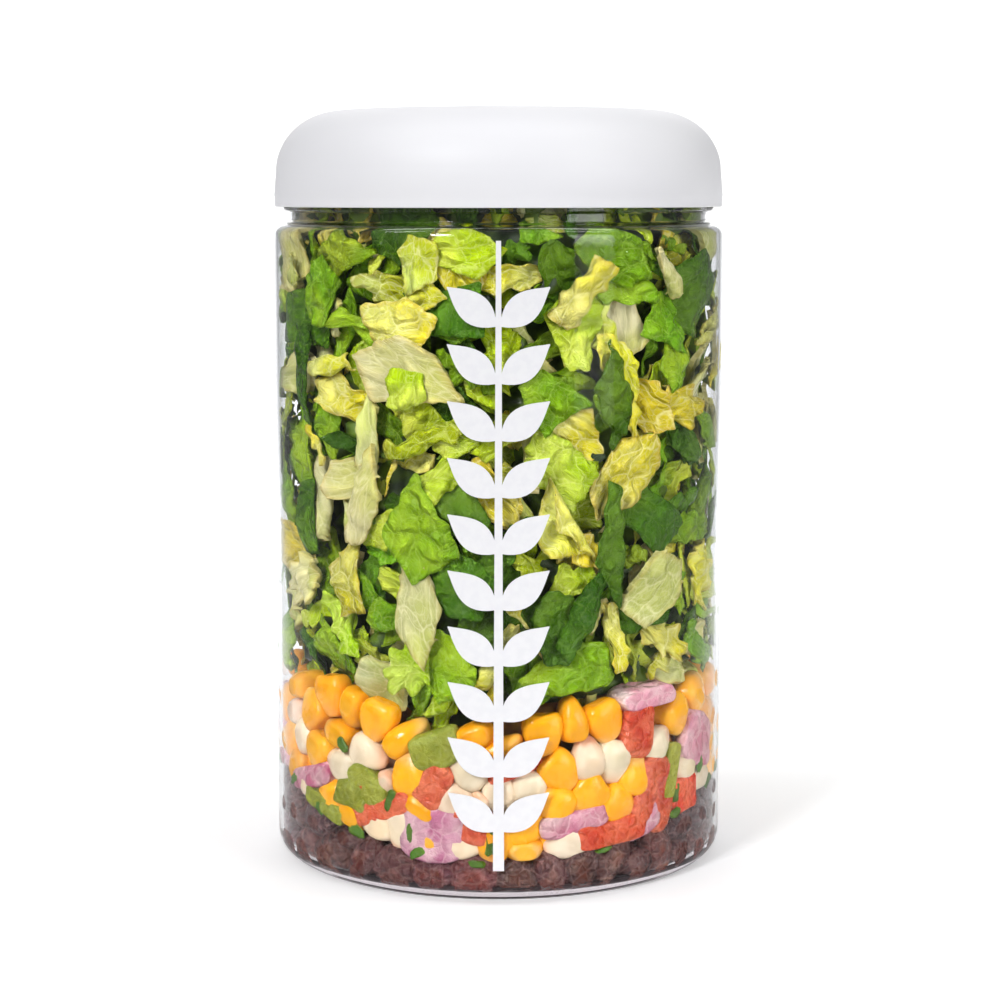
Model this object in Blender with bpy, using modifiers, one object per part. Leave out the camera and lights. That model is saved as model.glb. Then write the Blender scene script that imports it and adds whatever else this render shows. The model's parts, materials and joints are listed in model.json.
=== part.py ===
"""Mixed salad in a clear screw-top jar, in metres, +Z up, origin at the middle of the jar's foot.

The jar and its domed lid are turned shells. The food is three heaps, one on another: black beans on
the jar's floor, a corn, onion and tomato mix on them, and chopped greens that fill the jar up to the
lid. Run with blender --background --python part.py, or from Blender's text editor.
"""

import math

import bmesh
import bpy

MM = 0.001

# The jar: straight sides, a rounded heel and shoulder, and a short neck with one bead.
JAR_RADIUS = 47.5 * MM
JAR_WALL = 0.9 * MM
FLOOR_Z = 1.8 * MM
HEEL_RADIUS = 4.75 * MM
FOOT_INNER_RADIUS = 31 * MM
PUSH_UP = 0.8 * MM
PUSH_UP_SLOPE = 3 * MM
SHOULDER_Z = 131.3 * MM
SHOULDER_RADIUS = 3.0 * MM
NECK_RADIUS = 44.0 * MM
NECK_WALL = 1.1 * MM
NECK_FILLET = 0.4 * MM
BEAD_RADIUS = 45.4 * MM
BEAD_Z = 136.1 * MM
BEAD_HEIGHT = 1.5 * MM
RIM_Z = 150.2 * MM
RIM_ROUNDING = 0.5 * MM

# The lid: a straight skirt as wide as the jar, a broad rounded edge and a slightly domed top.
LID_RADIUS = 47.5 * MM
LID_WALL = 1.4 * MM
LID_BOTTOM_Z = 136.8 * MM
LID_EDGE_Z = 144.6 * MM
LID_EDGE_WIDTH = 14.0 * MM
LID_EDGE_HEIGHT = 12.6 * MM
LID_CROWN = 0.8 * MM
LID_LIP_ROUNDING = 0.35 * MM

# The food: the mean height of each layer's top, the gap that keeps the solids apart, and how deep the
# outline's dents go, on the outer share of the radius.
GAP = 0.4 * MM
BEANS_TOP = 15 * MM
CORN_TOP = 40 * MM
GREENS_CROWN = 3.4 * MM
SIDE_DENT = 1.6 * MM
SIDE_SHARE = 0.1

AROUND = 56
HEAP_AROUND = 42
ARC_STEPS = 5
RING_SHARES = (0.0, 0.3, 0.56, 0.8)


def arc(middle, radii, start, end, steps=ARC_STEPS):
    """Points (radius, height) on an elliptical arc about middle, from start to end degrees."""
    angles = [math.radians(start + (end - start) * i / steps) for i in range(steps + 1)]
    return [(middle[0] + radii[0] * math.cos(a), middle[1] + radii[1] * math.sin(a)) for a in angles]


def turned(name, profile, around):
    """A solid of revolution about Z. The profile starts and ends on the axis and runs down its outer side."""
    mesh = bpy.data.meshes.new(name)
    edges = [(i, i + 1) for i in range(len(profile) - 1)]
    mesh.from_pydata([(r, 0.0, z) for r, z in profile], edges, [])
    shape = bpy.data.objects.new(name, mesh)
    screw = shape.modifiers.new("Turn", "SCREW")
    screw.axis = "Z"
    screw.steps = around
    screw.render_steps = around
    screw.use_merge_vertices = True
    screw.merge_threshold = 0.00001
    screw.use_smooth_shade = True
    return shape


def jar_profile():
    """The jar's section: over the floor, up the inner wall, round the rim and down the outside."""
    inner_radius = JAR_RADIUS - JAR_WALL
    inner_heel = HEEL_RADIUS - JAR_WALL
    inner_neck = NECK_RADIUS - NECK_WALL
    bend = JAR_RADIUS - SHOULDER_RADIUS
    inner_shoulder = SHOULDER_RADIUS - JAR_WALL
    shoulder_top = SHOULDER_Z + SHOULDER_RADIUS
    inside = [(0.0, FLOOR_Z)]
    inside += arc((inner_radius - inner_heel, FLOOR_Z + inner_heel), (inner_heel,) * 2, -90, 0)
    inside += arc((bend, SHOULDER_Z), (inner_shoulder,) * 2, 0, 90)
    inside += [(inner_neck, shoulder_top - JAR_WALL + NECK_FILLET)]
    middle = (NECK_RADIUS + inner_neck) / 2
    rim = arc((middle, RIM_Z - RIM_ROUNDING), (NECK_WALL / 2, RIM_ROUNDING), 180, 0, 4)
    outside = [
        (NECK_RADIUS, BEAD_Z + BEAD_HEIGHT + (BEAD_RADIUS - NECK_RADIUS) / 2),
        (BEAD_RADIUS, BEAD_Z + BEAD_HEIGHT),
        (BEAD_RADIUS, BEAD_Z + NECK_FILLET / 2),
        (BEAD_RADIUS - NECK_FILLET / 2, BEAD_Z),
        (NECK_RADIUS, BEAD_Z),
        (NECK_RADIUS, shoulder_top + NECK_FILLET),
        (NECK_RADIUS + NECK_FILLET, shoulder_top),
    ]
    outside += arc((bend, SHOULDER_Z), (SHOULDER_RADIUS,) * 2, 90, 0)[1:]
    outside += arc((JAR_RADIUS - HEEL_RADIUS, HEEL_RADIUS), (HEEL_RADIUS,) * 2, 0, -90)
    outside += [(FOOT_INNER_RADIUS, 0.0), (FOOT_INNER_RADIUS - PUSH_UP_SLOPE, PUSH_UP), (0.0, PUSH_UP)]
    return inside + rim + outside


def lid_profile():
    """The lid's section: over the dome and down the skirt, then up the inside to the crown."""
    edge = (LID_RADIUS - LID_EDGE_WIDTH, LID_EDGE_Z)
    inner = LID_RADIUS - LID_WALL
    top = LID_EDGE_Z + LID_EDGE_HEIGHT
    lip = LID_LIP_ROUNDING
    profile = [(0.0, top + LID_CROWN), (edge[0] * 0.55, top + LID_CROWN * 0.7)]
    profile += arc(edge, (LID_EDGE_WIDTH, LID_EDGE_HEIGHT), 90, 0, 8)
    profile += [(LID_RADIUS, LID_BOTTOM_Z + lip), (LID_RADIUS - lip, LID_BOTTOM_Z)]
    profile += [(inner + lip, LID_BOTTOM_Z), (inner, LID_BOTTOM_Z + lip)]
    profile += arc(edge, (LID_EDGE_WIDTH - LID_WALL, LID_EDGE_HEIGHT - LID_WALL), 0, 90, 6)
    profile += [(0.0, top + LID_CROWN - LID_WALL)]
    return profile


def ripple(x, y, seed):
    """A smooth uneven height between about -1 and 1, from a few crossing waves."""
    waves = ((71, 38, 0.42), (-55, 92, 0.3), (118, -67, 0.28))
    return sum(share * math.sin(a * x + b * y + seed * (i + 1)) for i, (a, b, share) in enumerate(waves))


def beans_top(x, y):
    """Height of the beans' surface: low at the front of the jar, higher at its sides and back."""
    slope = 4.5 * MM * y / JAR_RADIUS - 1.4 * MM * x / JAR_RADIUS
    bank = 4.0 * MM * (x / JAR_RADIUS) ** 2 - 1.5 * MM
    return BEANS_TOP + slope + bank + 1.2 * MM * ripple(x, y, 2.0)


def corn_top(x, y):
    """Height of the corn mix's surface, with one dip left of the front where the greens hang down."""
    dip_x, dip_y, dip_width = -0.28 * JAR_RADIUS, -0.9 * JAR_RADIUS, 12 * MM
    distance = math.hypot(x - dip_x, y - dip_y) / dip_width
    return CORN_TOP - 8 * MM * math.exp(-distance * distance) + 2.2 * MM * ripple(x, y, 5.0)


def press(vertex, share):
    """Draws a side vertex inwards by a dent that fades out at the heap's top and bottom edges."""
    angle = math.atan2(vertex.co.y, vertex.co.x)
    reach = math.hypot(vertex.co.x, vertex.co.y)
    if reach < (1 - SIDE_SHARE) * JAR_RADIUS or not 0 < share < 1:
        return
    wave = math.sin(9 * angle + 310 * vertex.co.z) * math.cos(5 * angle - 190 * vertex.co.z)
    shrink = 1 - SIDE_DENT / reach * math.sin(math.pi * share) * (0.5 + 0.5 * wave)
    vertex.co.x *= shrink
    vertex.co.y *= shrink


def split_alike(mesh):
    """Splits each face along its shorter diagonal, so that facing surfaces split alike and keep their gap."""
    work = bmesh.new()
    work.from_mesh(mesh)
    bmesh.ops.triangulate(work, faces=work.faces, quad_method="SHORT_EDGE")
    work.to_mesh(mesh)
    work.free()


def heap(name, profile, lower, lower_z, upper, upper_z):
    """A turned heap whose bottom and top follow the surfaces lower and upper, blending in between."""
    shape = turned(name, profile, HEAP_AROUND)
    bpy.context.scene.collection.objects.link(shape)
    graph = bpy.context.evaluated_depsgraph_get()
    mesh = bpy.data.meshes.new_from_object(shape.evaluated_get(graph))
    bpy.data.objects.remove(shape)
    for vertex in mesh.vertices:
        x, y, z = vertex.co
        share = min(1.0, max(0.0, (z - lower_z) / (upper_z - lower_z)))
        rise_below = lower(x, y) - lower_z if lower else 0.0
        rise_above = upper(x, y) - upper_z if upper else 0.0
        press(vertex, share)
        vertex.co.z = z + (1 - share) * rise_below + share * rise_above
    split_alike(mesh)
    return bpy.data.objects.new(name, mesh)


def side_levels(radius, bottom, top, count):
    """Evenly spaced points up a heap's side."""
    return [(radius, bottom + (top - bottom) * i / count) for i in range(count + 1)]


def black_beans():
    """The beans: they fill the floor out to the rounded heel."""
    radius = JAR_RADIUS - JAR_WALL - GAP
    heel = HEEL_RADIUS - JAR_WALL
    bottom = FLOOR_Z + GAP
    top = [(share * radius, BEANS_TOP) for share in RING_SHARES]
    side = side_levels(radius, bottom + heel, BEANS_TOP, 2)[::-1]
    under = arc((radius - heel, bottom + heel), (heel, heel), 0, -90, 3)[1:]
    return heap("black_beans", top + side + under + [(0.0, bottom)], None, bottom, beans_top, BEANS_TOP)


def corn_mix():
    """The corn, onion and tomato mix between the beans and the greens."""
    radius = JAR_RADIUS - JAR_WALL - GAP
    bottom = BEANS_TOP + GAP
    top = [(share * radius, CORN_TOP) for share in RING_SHARES]
    side = side_levels(radius, bottom, CORN_TOP, 4)[::-1]
    under = [(share * radius, bottom) for share in RING_SHARES[::-1]]
    lower = lambda x, y: beans_top(x, y) + GAP
    return heap("corn_mix", top + side + under, lower, bottom, corn_top, CORN_TOP)


def greens():
    """The chopped greens: they fill the body and the neck and heap up a little under the lid."""
    radius = JAR_RADIUS - JAR_WALL - GAP
    neck = NECK_RADIUS - NECK_WALL - GAP
    bottom = CORN_TOP + GAP
    crown = RIM_Z + GREENS_CROWN
    top = [(0.0, crown), (0.35 * neck, crown - 0.2 * MM), (0.7 * neck, crown - 1.0 * MM)]
    top += [(0.9 * neck, RIM_Z), (neck, RIM_Z - 2.0 * MM)]
    shoulder = [(neck, SHOULDER_Z), (radius, SHOULDER_Z - 1.5 * MM)]
    side = side_levels(radius, bottom, SHOULDER_Z - 8 * MM, 8)[::-1]
    under = [(share * radius, bottom) for share in RING_SHARES[::-1]]
    lower = lambda x, y: corn_top(x, y) + GAP
    profile = top + shoulder + side + under
    return heap("greens", profile, lower, bottom, None, SHOULDER_Z - 8 * MM)


def material(name, colour, roughness, alpha=1.0, transmission=0.0):
    """A Principled material of one colour."""
    made = bpy.data.materials.new(name)
    made.use_nodes = True
    shader = made.node_tree.nodes["Principled BSDF"]
    shader.inputs["Base Color"].default_value = (*colour, 1.0)
    shader.inputs["Roughness"].default_value = roughness
    shader.inputs["Alpha"].default_value = alpha
    shader.inputs["Transmission Weight"].default_value = transmission
    return made


def clear_scene():
    """Removes the objects that the scene starts with."""
    for found in list(bpy.data.objects):
        bpy.data.objects.remove(found)


def main():
    """Builds the jar, its lid and the three heaps, each with its own material."""
    clear_scene()
    collection = bpy.data.collections.new("salad_jar")
    bpy.context.scene.collection.children.link(collection)
    parts = (
        (turned("jar", jar_profile(), AROUND), material("clear_plastic", (0.93, 0.95, 0.95), 0.03, 0.3, 1.0)),
        (turned("lid", lid_profile(), AROUND), material("white_plastic", (0.88, 0.88, 0.9), 0.3)),
        (black_beans(), material("bean_skin", (0.06, 0.025, 0.022), 0.3)),
        (corn_mix(), material("corn_kernels", (0.9, 0.5, 0.08), 0.35)),
        (greens(), material("green_leaves", (0.22, 0.4, 0.04), 0.45)),
    )
    for part, finish in parts:
        part.data.materials.append(finish)
        part.data.shade_smooth()
        part.data.set_sharp_from_angle(angle=math.radians(35))
        collection.objects.link(part)


main()
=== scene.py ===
"""Looks of the salad jar: a clear jar with a white lid, filled with layered chopped salad.

Lengths are in metres and +Z is up. The jar's axis is the Z axis and its printed front faces -Y. A place
in the food is given in wall coordinates: how far round the jar from the middle of its front, how high,
and how deep behind the jar's inner wall.
"""

import json
import logging
import math
from dataclasses import dataclass, field
from enum import Enum
from typing import Callable, Optional, Sequence

import bmesh
import bpy
import numpy as np
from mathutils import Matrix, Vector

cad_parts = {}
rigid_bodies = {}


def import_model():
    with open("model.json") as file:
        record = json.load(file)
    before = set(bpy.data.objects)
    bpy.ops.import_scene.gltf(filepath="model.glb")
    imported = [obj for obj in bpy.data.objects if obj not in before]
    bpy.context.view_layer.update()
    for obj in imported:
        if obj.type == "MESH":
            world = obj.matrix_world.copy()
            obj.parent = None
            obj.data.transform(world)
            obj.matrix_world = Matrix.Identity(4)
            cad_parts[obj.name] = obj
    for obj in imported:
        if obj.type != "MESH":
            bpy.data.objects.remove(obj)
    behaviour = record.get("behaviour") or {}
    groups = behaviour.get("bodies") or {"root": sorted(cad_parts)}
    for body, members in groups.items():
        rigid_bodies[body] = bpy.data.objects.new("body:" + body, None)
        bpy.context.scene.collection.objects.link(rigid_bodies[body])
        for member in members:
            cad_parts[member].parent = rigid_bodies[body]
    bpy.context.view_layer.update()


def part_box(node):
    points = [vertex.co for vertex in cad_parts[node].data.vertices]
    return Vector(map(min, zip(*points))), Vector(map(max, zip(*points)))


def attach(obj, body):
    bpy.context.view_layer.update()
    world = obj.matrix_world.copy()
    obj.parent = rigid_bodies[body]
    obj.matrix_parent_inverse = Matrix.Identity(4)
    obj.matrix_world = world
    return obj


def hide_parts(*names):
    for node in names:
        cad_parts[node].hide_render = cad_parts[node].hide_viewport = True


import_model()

LOG = logging.getLogger("salad_jar")
MM = 0.001
BODY = "root"
TINT = "Tint"
LEAF_MAP = "LeafMap"
RIDGE = 0.985
Colour = tuple[float, float, float]
Array = np.ndarray
Rng = np.random.Generator
Material = bpy.types.Material
Mesh = bpy.types.Mesh
Piece = bpy.types.Object
Node = bpy.types.Node
Socket = bpy.types.NodeSocket


# ---------- Small tools ----------


def paint(red: int, green: int, blue: int) -> Array:
    """A screen colour of 0 to 255 as the linear colour that materials work in."""
    screen = np.array((red, green, blue), float) / 255
    return np.where(screen <= 0.04045, screen / 12.92, ((screen + 0.055) / 1.055) ** 2.4)


def mixed(first: Array, second: Array, share: Array) -> Array:
    """Two colours or arrays of colours, mixed by an array of shares."""
    share = np.asarray(share)[..., None]
    return first * (1 - share) + second * share


def smoothstep(low: float, high: float, value: Array) -> Array:
    """0 below low and 1 above high, with a smooth rise in between."""
    t = np.clip((value - low) / (high - low), 0, 1)
    return t * t * (3 - 2 * t)


def waves(points: Array, length: tuple[float, float], count: int, random: Rng, crisp: bool = False) -> Array:
    """A smooth random field between about -1 and 1, made of crossing plane waves.

    Args:
        points: Places, with their coordinates on the last axis.
        length: Shortest and longest wave.
        count: How many waves to add up.
        random: Source of the directions, lengths and phases.
        crisp: Whether the field has straight slopes that meet in ridges, as a crumpled leaf has.

    Returns:
        One value for each place.
    """
    total = np.zeros(points.shape[:-1])
    for _ in range(count):
        direction = random.normal(size=points.shape[-1])
        direction *= 2 * math.pi / random.uniform(*length) / np.linalg.norm(direction)
        wave = np.sin(points @ direction + random.uniform(0, 2 * math.pi))
        total += np.arcsin(RIDGE * wave) if crisp else wave
    return total / (count if crisp else math.sqrt(count))


def turned(x: Array, y: Array, angle: float) -> tuple[Array, Array]:
    """Points in a plane, turned about its origin by an angle in radians."""
    return x * math.cos(angle) - y * math.sin(angle), x * math.sin(angle) + y * math.cos(angle)


def arc(middle: tuple[float, float], radii: tuple[float, float], start: float, end: float, steps: int) -> list:
    """Points (radius, height) on an elliptical arc about middle, from start to end degrees."""
    angles = np.radians(np.linspace(start, end, steps + 1))
    return [(middle[0] + radii[0] * math.cos(a), middle[1] + radii[1] * math.sin(a)) for a in angles]


@dataclass
class MeshParts:
    """Points, faces and per-point values that become one mesh."""

    points: list[Array] = field(default_factory=list)
    faces: list[Array] = field(default_factory=list)
    tints: list[Array] = field(default_factory=list)
    maps: list[Array] = field(default_factory=list)
    smooth: list[Array] = field(default_factory=list)
    size: int = 0

    def add(self, points: Array, faces: Array, tints: Array, places: Array, flat: int) -> None:
        """Adds one shape: faces of four corners, with a tint and a leaf place a point, and flat last faces."""
        self.points.append(points)
        self.faces.append(np.where(faces < 0, -1, faces + self.size))
        self.tints.append(tints)
        self.maps.append(places)
        self.smooth.append(np.arange(len(faces)) < len(faces) - flat)
        self.size += len(points)

    def mesh(self, name: str) -> Mesh:
        """Joins what was added into one mesh."""
        faces = np.concatenate(self.faces)
        corners = (faces >= 0).sum(axis=1)
        made = bpy.data.meshes.new(name)
        made.vertices.add(self.size)
        made.vertices.foreach_set("co", np.concatenate(self.points).astype(np.float32).ravel())
        loops = faces.ravel()[faces.ravel() >= 0].astype(np.int32)
        made.loops.add(len(loops))
        made.loops.foreach_set("vertex_index", loops)
        made.polygons.add(len(faces))
        starts = np.concatenate([[0], np.cumsum(corners)[:-1]]).astype(np.int32)
        made.polygons.foreach_set("loop_start", starts)
        made.polygons.foreach_set("use_smooth", np.concatenate(self.smooth))
        made.update(calc_edges=True)
        store_tint(made, np.concatenate(self.tints))
        corner_points = np.empty(len(made.loops), np.int32)
        made.loops.foreach_get("vertex_index", corner_points)
        layer = made.uv_layers.new(name=LEAF_MAP)
        layer.uv.foreach_set("vector", np.concatenate(self.maps)[corner_points].astype(np.float32).ravel())
        return made


def store(mesh: Mesh, name: str, kind: str, values: Array) -> None:
    """Stores a value for each of the mesh's points: FLOAT, FLOAT_VECTOR or FLOAT_COLOR."""
    entry = {"FLOAT": "value", "FLOAT_VECTOR": "vector", "FLOAT_COLOR": "color"}[kind]
    attribute = mesh.attributes.new(name, kind, "POINT")
    attribute.data.foreach_set(entry, values.astype(np.float32).ravel())


def store_tint(mesh: Mesh, tints: Array) -> None:
    """Stores one colour for each of the mesh's points, which its material reads."""
    store(mesh, TINT, "FLOAT_COLOR", np.concatenate([tints, np.ones((len(tints), 1))], axis=1))


def points_of(mesh: Mesh) -> Array:
    """The mesh's points as an array."""
    points = np.empty(len(mesh.vertices) * 3, np.float32)
    mesh.vertices.foreach_get("co", points)
    return points.reshape(-1, 3).astype(float)


def values_of(mesh: Mesh, name: str, width: int) -> Array:
    """A point attribute of the mesh as an array with width columns."""
    attribute = mesh.attributes[name]
    values = np.empty(len(mesh.vertices) * width, np.float32)
    attribute.data.foreach_get("vector" if width == 3 else "value", values)
    return values.reshape(-1, width)


def face_outwards(mesh: Mesh) -> Mesh:
    """Turns all the faces of a closed mesh outwards."""
    work = bmesh.new()
    work.from_mesh(mesh)
    bmesh.ops.recalc_face_normals(work, faces=work.faces)
    work.to_mesh(mesh)
    work.free()
    return mesh


def ringed_mesh(name: str, rings: Array, ends: Sequence) -> Mesh:
    """A smooth closed mesh of rings of points, between two end points.

    Args:
        name: The mesh's name.
        rings: The points, as rings and places round each ring.
        ends: The point before the first ring, and the one after the last.

    Returns:
        The mesh, whose last two points are the ends.
    """
    rows, sides = rings.shape[:2]
    index = np.arange(rows * sides).reshape(rows, sides)
    following = np.roll(index, -1, axis=1)
    quads = np.stack([index[:-1], following[:-1], following[1:], index[1:]], axis=-1).reshape(-1, 4)
    first = [(rows * sides, b, a) for a, b in zip(index[0], following[0])]
    last = [(rows * sides + 1, a, b) for a, b in zip(index[-1], following[-1])]
    points = np.concatenate([rings.reshape(-1, 3), ends])
    mesh = bpy.data.meshes.new(name)
    mesh.from_pydata(points.tolist(), [], [*map(tuple, quads.tolist()), *first, *last])
    face_outwards(mesh).shade_smooth()
    return mesh


def placed(name: str, mesh: Mesh, material: Optional[Material] = None) -> Piece:
    """A new object at the origin with this mesh and material."""
    made = bpy.data.objects.new(name, mesh)
    if material is not None:
        mesh.materials.clear()
        mesh.materials.append(material)
    bpy.context.scene.collection.objects.link(made)
    return made


def hand_over(piece: Piece, slot: str, *nodes: str) -> None:
    """Gives a finished piece to the frame and reports it.

    Args:
        piece: The piece, at the origin with its place in its mesh.
        slot: The record's material slot that its finish comes from.
        nodes: The CAD nodes that it stands for.
    """
    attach(piece, BODY)
    if nodes:
        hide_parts(*nodes)
    faces = sum(len(face.vertices) - 2 for face in piece.data.polygons)
    LOG.info("%s: %d triangles, finish %s", piece.name, faces, slot)


# ---------- Node trees ----------


class Graph:
    """A node tree while it is being built."""

    def __init__(self, tree: bpy.types.NodeTree) -> None:
        """Starts on an existing tree."""
        self.tree = tree

    @classmethod
    def group(cls, name: str, kind: str, inputs: dict, outputs: dict) -> "Graph":
        """Starts a new group.

        Args:
            name: The group's name.
            kind: ShaderNodeTree or GeometryNodeTree.
            inputs: For each input, its default number, or its kind of socket.
            outputs: For each output, its kind of socket.

        Returns:
            The graph of the new group, with its input and output nodes in place.
        """
        graph = cls(bpy.data.node_groups.new(name, kind))
        numbers = {int: "Int", float: "Float"}
        for side, sockets in (("INPUT", inputs), ("OUTPUT", outputs)):
            for label, value in sockets.items():
                socket_type = "NodeSocket" + numbers.get(type(value), str(value))
                made = graph.tree.interface.new_socket(name=label, in_out=side, socket_type=socket_type)
                if type(value) in numbers:
                    made.default_value = value
        graph.given = graph.tree.nodes.new("NodeGroupInput").outputs
        graph.result = graph.tree.nodes.new("NodeGroupOutput").inputs
        return graph

    def add(self, kind: str, inputs: Optional[dict] = None, **settings: object) -> Node:
        """Adds a node.

        Args:
            kind: The node's type.
            inputs: For each input, by name or index, a value or the output that feeds it.
            settings: The node's own properties.

        Returns:
            The new node.
        """
        node = self.tree.nodes.new(kind)
        for name, value in settings.items():
            setattr(node, name, value)
        self.fill(node, inputs or {})
        return node

    def fill(self, node: Node, values: dict) -> None:
        """Sets or feeds a node's inputs, by name or index."""
        for key, value in values.items():
            self.feed(node.inputs[key], value)

    def feed(self, socket: Socket, value: object) -> None:
        """Links an output to a socket, or sets the socket's own value."""
        if isinstance(value, Socket):
            self.tree.links.new(value, socket)
        else:
            socket.default_value = value

    def math(self, operation: str, *values: object) -> Socket:
        """The result of a Math node on values or outputs."""
        return self.add("ShaderNodeMath", dict(enumerate(values)), operation=operation).outputs[0]

    def ramp(self, value: object, low: float, high: float, start: float = 0.0, end: float = 1.0):
        """A value mapped smoothly from low..high to start..end, and held outside."""
        inputs = {0: value, 1: low, 2: high, 3: start, 4: end}
        return self.add("ShaderNodeMapRange", inputs, interpolation_type="SMOOTHSTEP").outputs[0]

    def blend(self, share: object, first: object, second: object, mode: str = "MIX") -> Socket:
        """Two colours mixed by a share."""
        node = self.add("ShaderNodeMix", data_type="RGBA", blend_type=mode)
        for index, value in ((0, share), (6, first), (7, second)):
            if isinstance(value, np.ndarray):
                value = (*value, 1.0)
            self.feed(node.inputs[index], value)
        return node.outputs[2]

    def place(self, group: "Graph", inputs: dict) -> Node:
        """Adds a shader group with its own values."""
        return self.add("ShaderNodeGroup", inputs, node_tree=group.tree)

    def fill_result(self, values: dict) -> None:
        """Feeds the group's outputs."""
        for key, value in values.items():
            self.feed(self.result[key], value)

    def split(self, vector: Socket) -> Sequence[Socket]:
        """The X, Y and Z of a vector."""
        return self.add("ShaderNodeSeparateXYZ", {0: vector}).outputs

    def noise(self, vector: Socket, scale: object, detail: float) -> Node:
        """A noise texture."""
        return self.add("ShaderNodeTexNoise", {"Vector": vector, "Scale": scale, "Detail": detail})

    def on_piece(self) -> Socket:
        """Coordinates that are fixed to the piece."""
        return self.add("ShaderNodeTexCoord").outputs["Object"]

    def bump(self, height: Socket, strength: float, distance: float, below: Optional[Socket] = None) -> Socket:
        """The surface's direction, bent by a height over another one."""
        values = {"Height": height, "Strength": strength, "Distance": distance}
        return self.add("ShaderNodeBump", {**values, "Normal": below} if below else values).outputs[0]

    def dress(self, geometry: Socket) -> None:
        """Ends a geometry group: makes its instances real and gives them its Finish."""
        whole = self.add("GeometryNodeRealizeInstances", {0: geometry})
        inputs = {"Geometry": whole.outputs[0], "Material": self.given["Finish"]}
        self.feed(self.result[0], self.add("GeometryNodeSetMaterial", inputs).outputs[0])


def material_graph(name: str) -> tuple[Material, Graph, Node]:
    """A new material, its graph and its Principled shader."""
    material = bpy.data.materials.new(name)
    material.use_nodes = True
    return material, Graph(material.node_tree), material.node_tree.nodes["Principled BSDF"]


class ShaderGroups:
    """The effects that several materials share, each built once."""

    def __init__(self) -> None:
        """Builds the three groups."""
        self.veins = self._veins()
        self.moist = self._moist()
        self.moulding = self._moulding()

    @staticmethod
    def _veins() -> Graph:
        """Leaf veins: broad side veins, a fine net between them, and the quilted surface they pull in."""
        inputs = {"Vector": "Vector", "Vein Spacing": 1.0, "Vein Width": 0.05}
        outputs = {"Veins": "Float", "Net": "Float", "Height": "Float"}
        graph = Graph.group("leaf_veins", "ShaderNodeTree", inputs, outputs)
        given = graph.given
        bend = graph.noise(given["Vector"], 1.6, 2.0).outputs["Color"]
        push = graph.add("ShaderNodeVectorMath", {0: bend, 1: (0.5, 0.5, 0.5)}, operation="SUBTRACT")
        scaled = graph.add("ShaderNodeVectorMath", {0: push.outputs[0], "Scale": 0.5}, operation="SCALE")
        bent = graph.add("ShaderNodeVectorMath", {0: given["Vector"], 1: scaled.outputs[0]}, operation="ADD")
        scale = graph.math("DIVIDE", 1.0, given["Vein Spacing"])
        fine_scale = graph.math("MULTIPLY", scale, 5.0)
        broad, fine = (
            graph.add(
                "ShaderNodeTexVoronoi",
                {"Vector": bent.outputs[0], "Scale": size, "Randomness": randomness},
                feature="DISTANCE_TO_EDGE",
            ).outputs["Distance"]
            for size, randomness in ((scale, 0.85), (fine_scale, 1.0))
        )
        small = graph.math("MULTIPLY", graph.ramp(fine, 0.0, 0.3), 0.14)
        height = graph.math("ADD", graph.ramp(broad, 0.0, 0.35), small)
        veins = graph.ramp(broad, 0.0, given["Vein Width"], 1.0, 0.0)
        net = graph.ramp(fine, 0.0, 0.12, 1.0, 0.0)
        graph.fill_result({"Veins": veins, "Net": net, "Height": height})
        return graph

    @staticmethod
    def _moist() -> Graph:
        """A moist skin: fine grain in its height, and gloss that changes from spot to spot."""
        inputs = {"Vector": "Vector", "Grain": 1500.0, "Wet": 0.2, "Dry": 0.5}
        outputs = {"Roughness": "Float", "Height": "Float", "Patch": "Float"}
        graph = Graph.group("moist_skin", "ShaderNodeTree", inputs, outputs)
        given = graph.given
        grain = graph.noise(given["Vector"], given["Grain"], 3.0).outputs[0]
        patch = graph.noise(given["Vector"], graph.math("MULTIPLY", given["Grain"], 0.22), 2.0).outputs[0]
        spots = graph.ramp(patch, 0.35, 0.65)
        rough = graph.add("ShaderNodeMapRange", {0: spots, 1: 0.0, 2: 1.0, 3: given["Wet"], 4: given["Dry"]})
        graph.fill_result({"Roughness": rough.outputs[0], "Height": grain, "Patch": spots})
        return graph

    @staticmethod
    def _moulding() -> Graph:
        """Moulded plastic: slow waves left by the mould, and a faint fine texture."""
        inputs = {"Vector": "Vector", "Wave Scale": 40.0, "Fine Scale": 1500.0}
        graph = Graph.group("moulded_plastic", "ShaderNodeTree", inputs, {"Height": "Float", "Mask": "Float"})
        given = graph.given
        slow = graph.noise(given["Vector"], given["Wave Scale"], 1.0).outputs[0]
        fine = graph.noise(given["Vector"], given["Fine Scale"], 2.0).outputs[0]
        height = graph.math("ADD", slow, graph.math("MULTIPLY", fine, 0.03))
        graph.fill_result({"Height": height, "Mask": graph.ramp(slow, 0.4, 0.6)})
        return graph


# ---------- Finishes ----------


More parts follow.
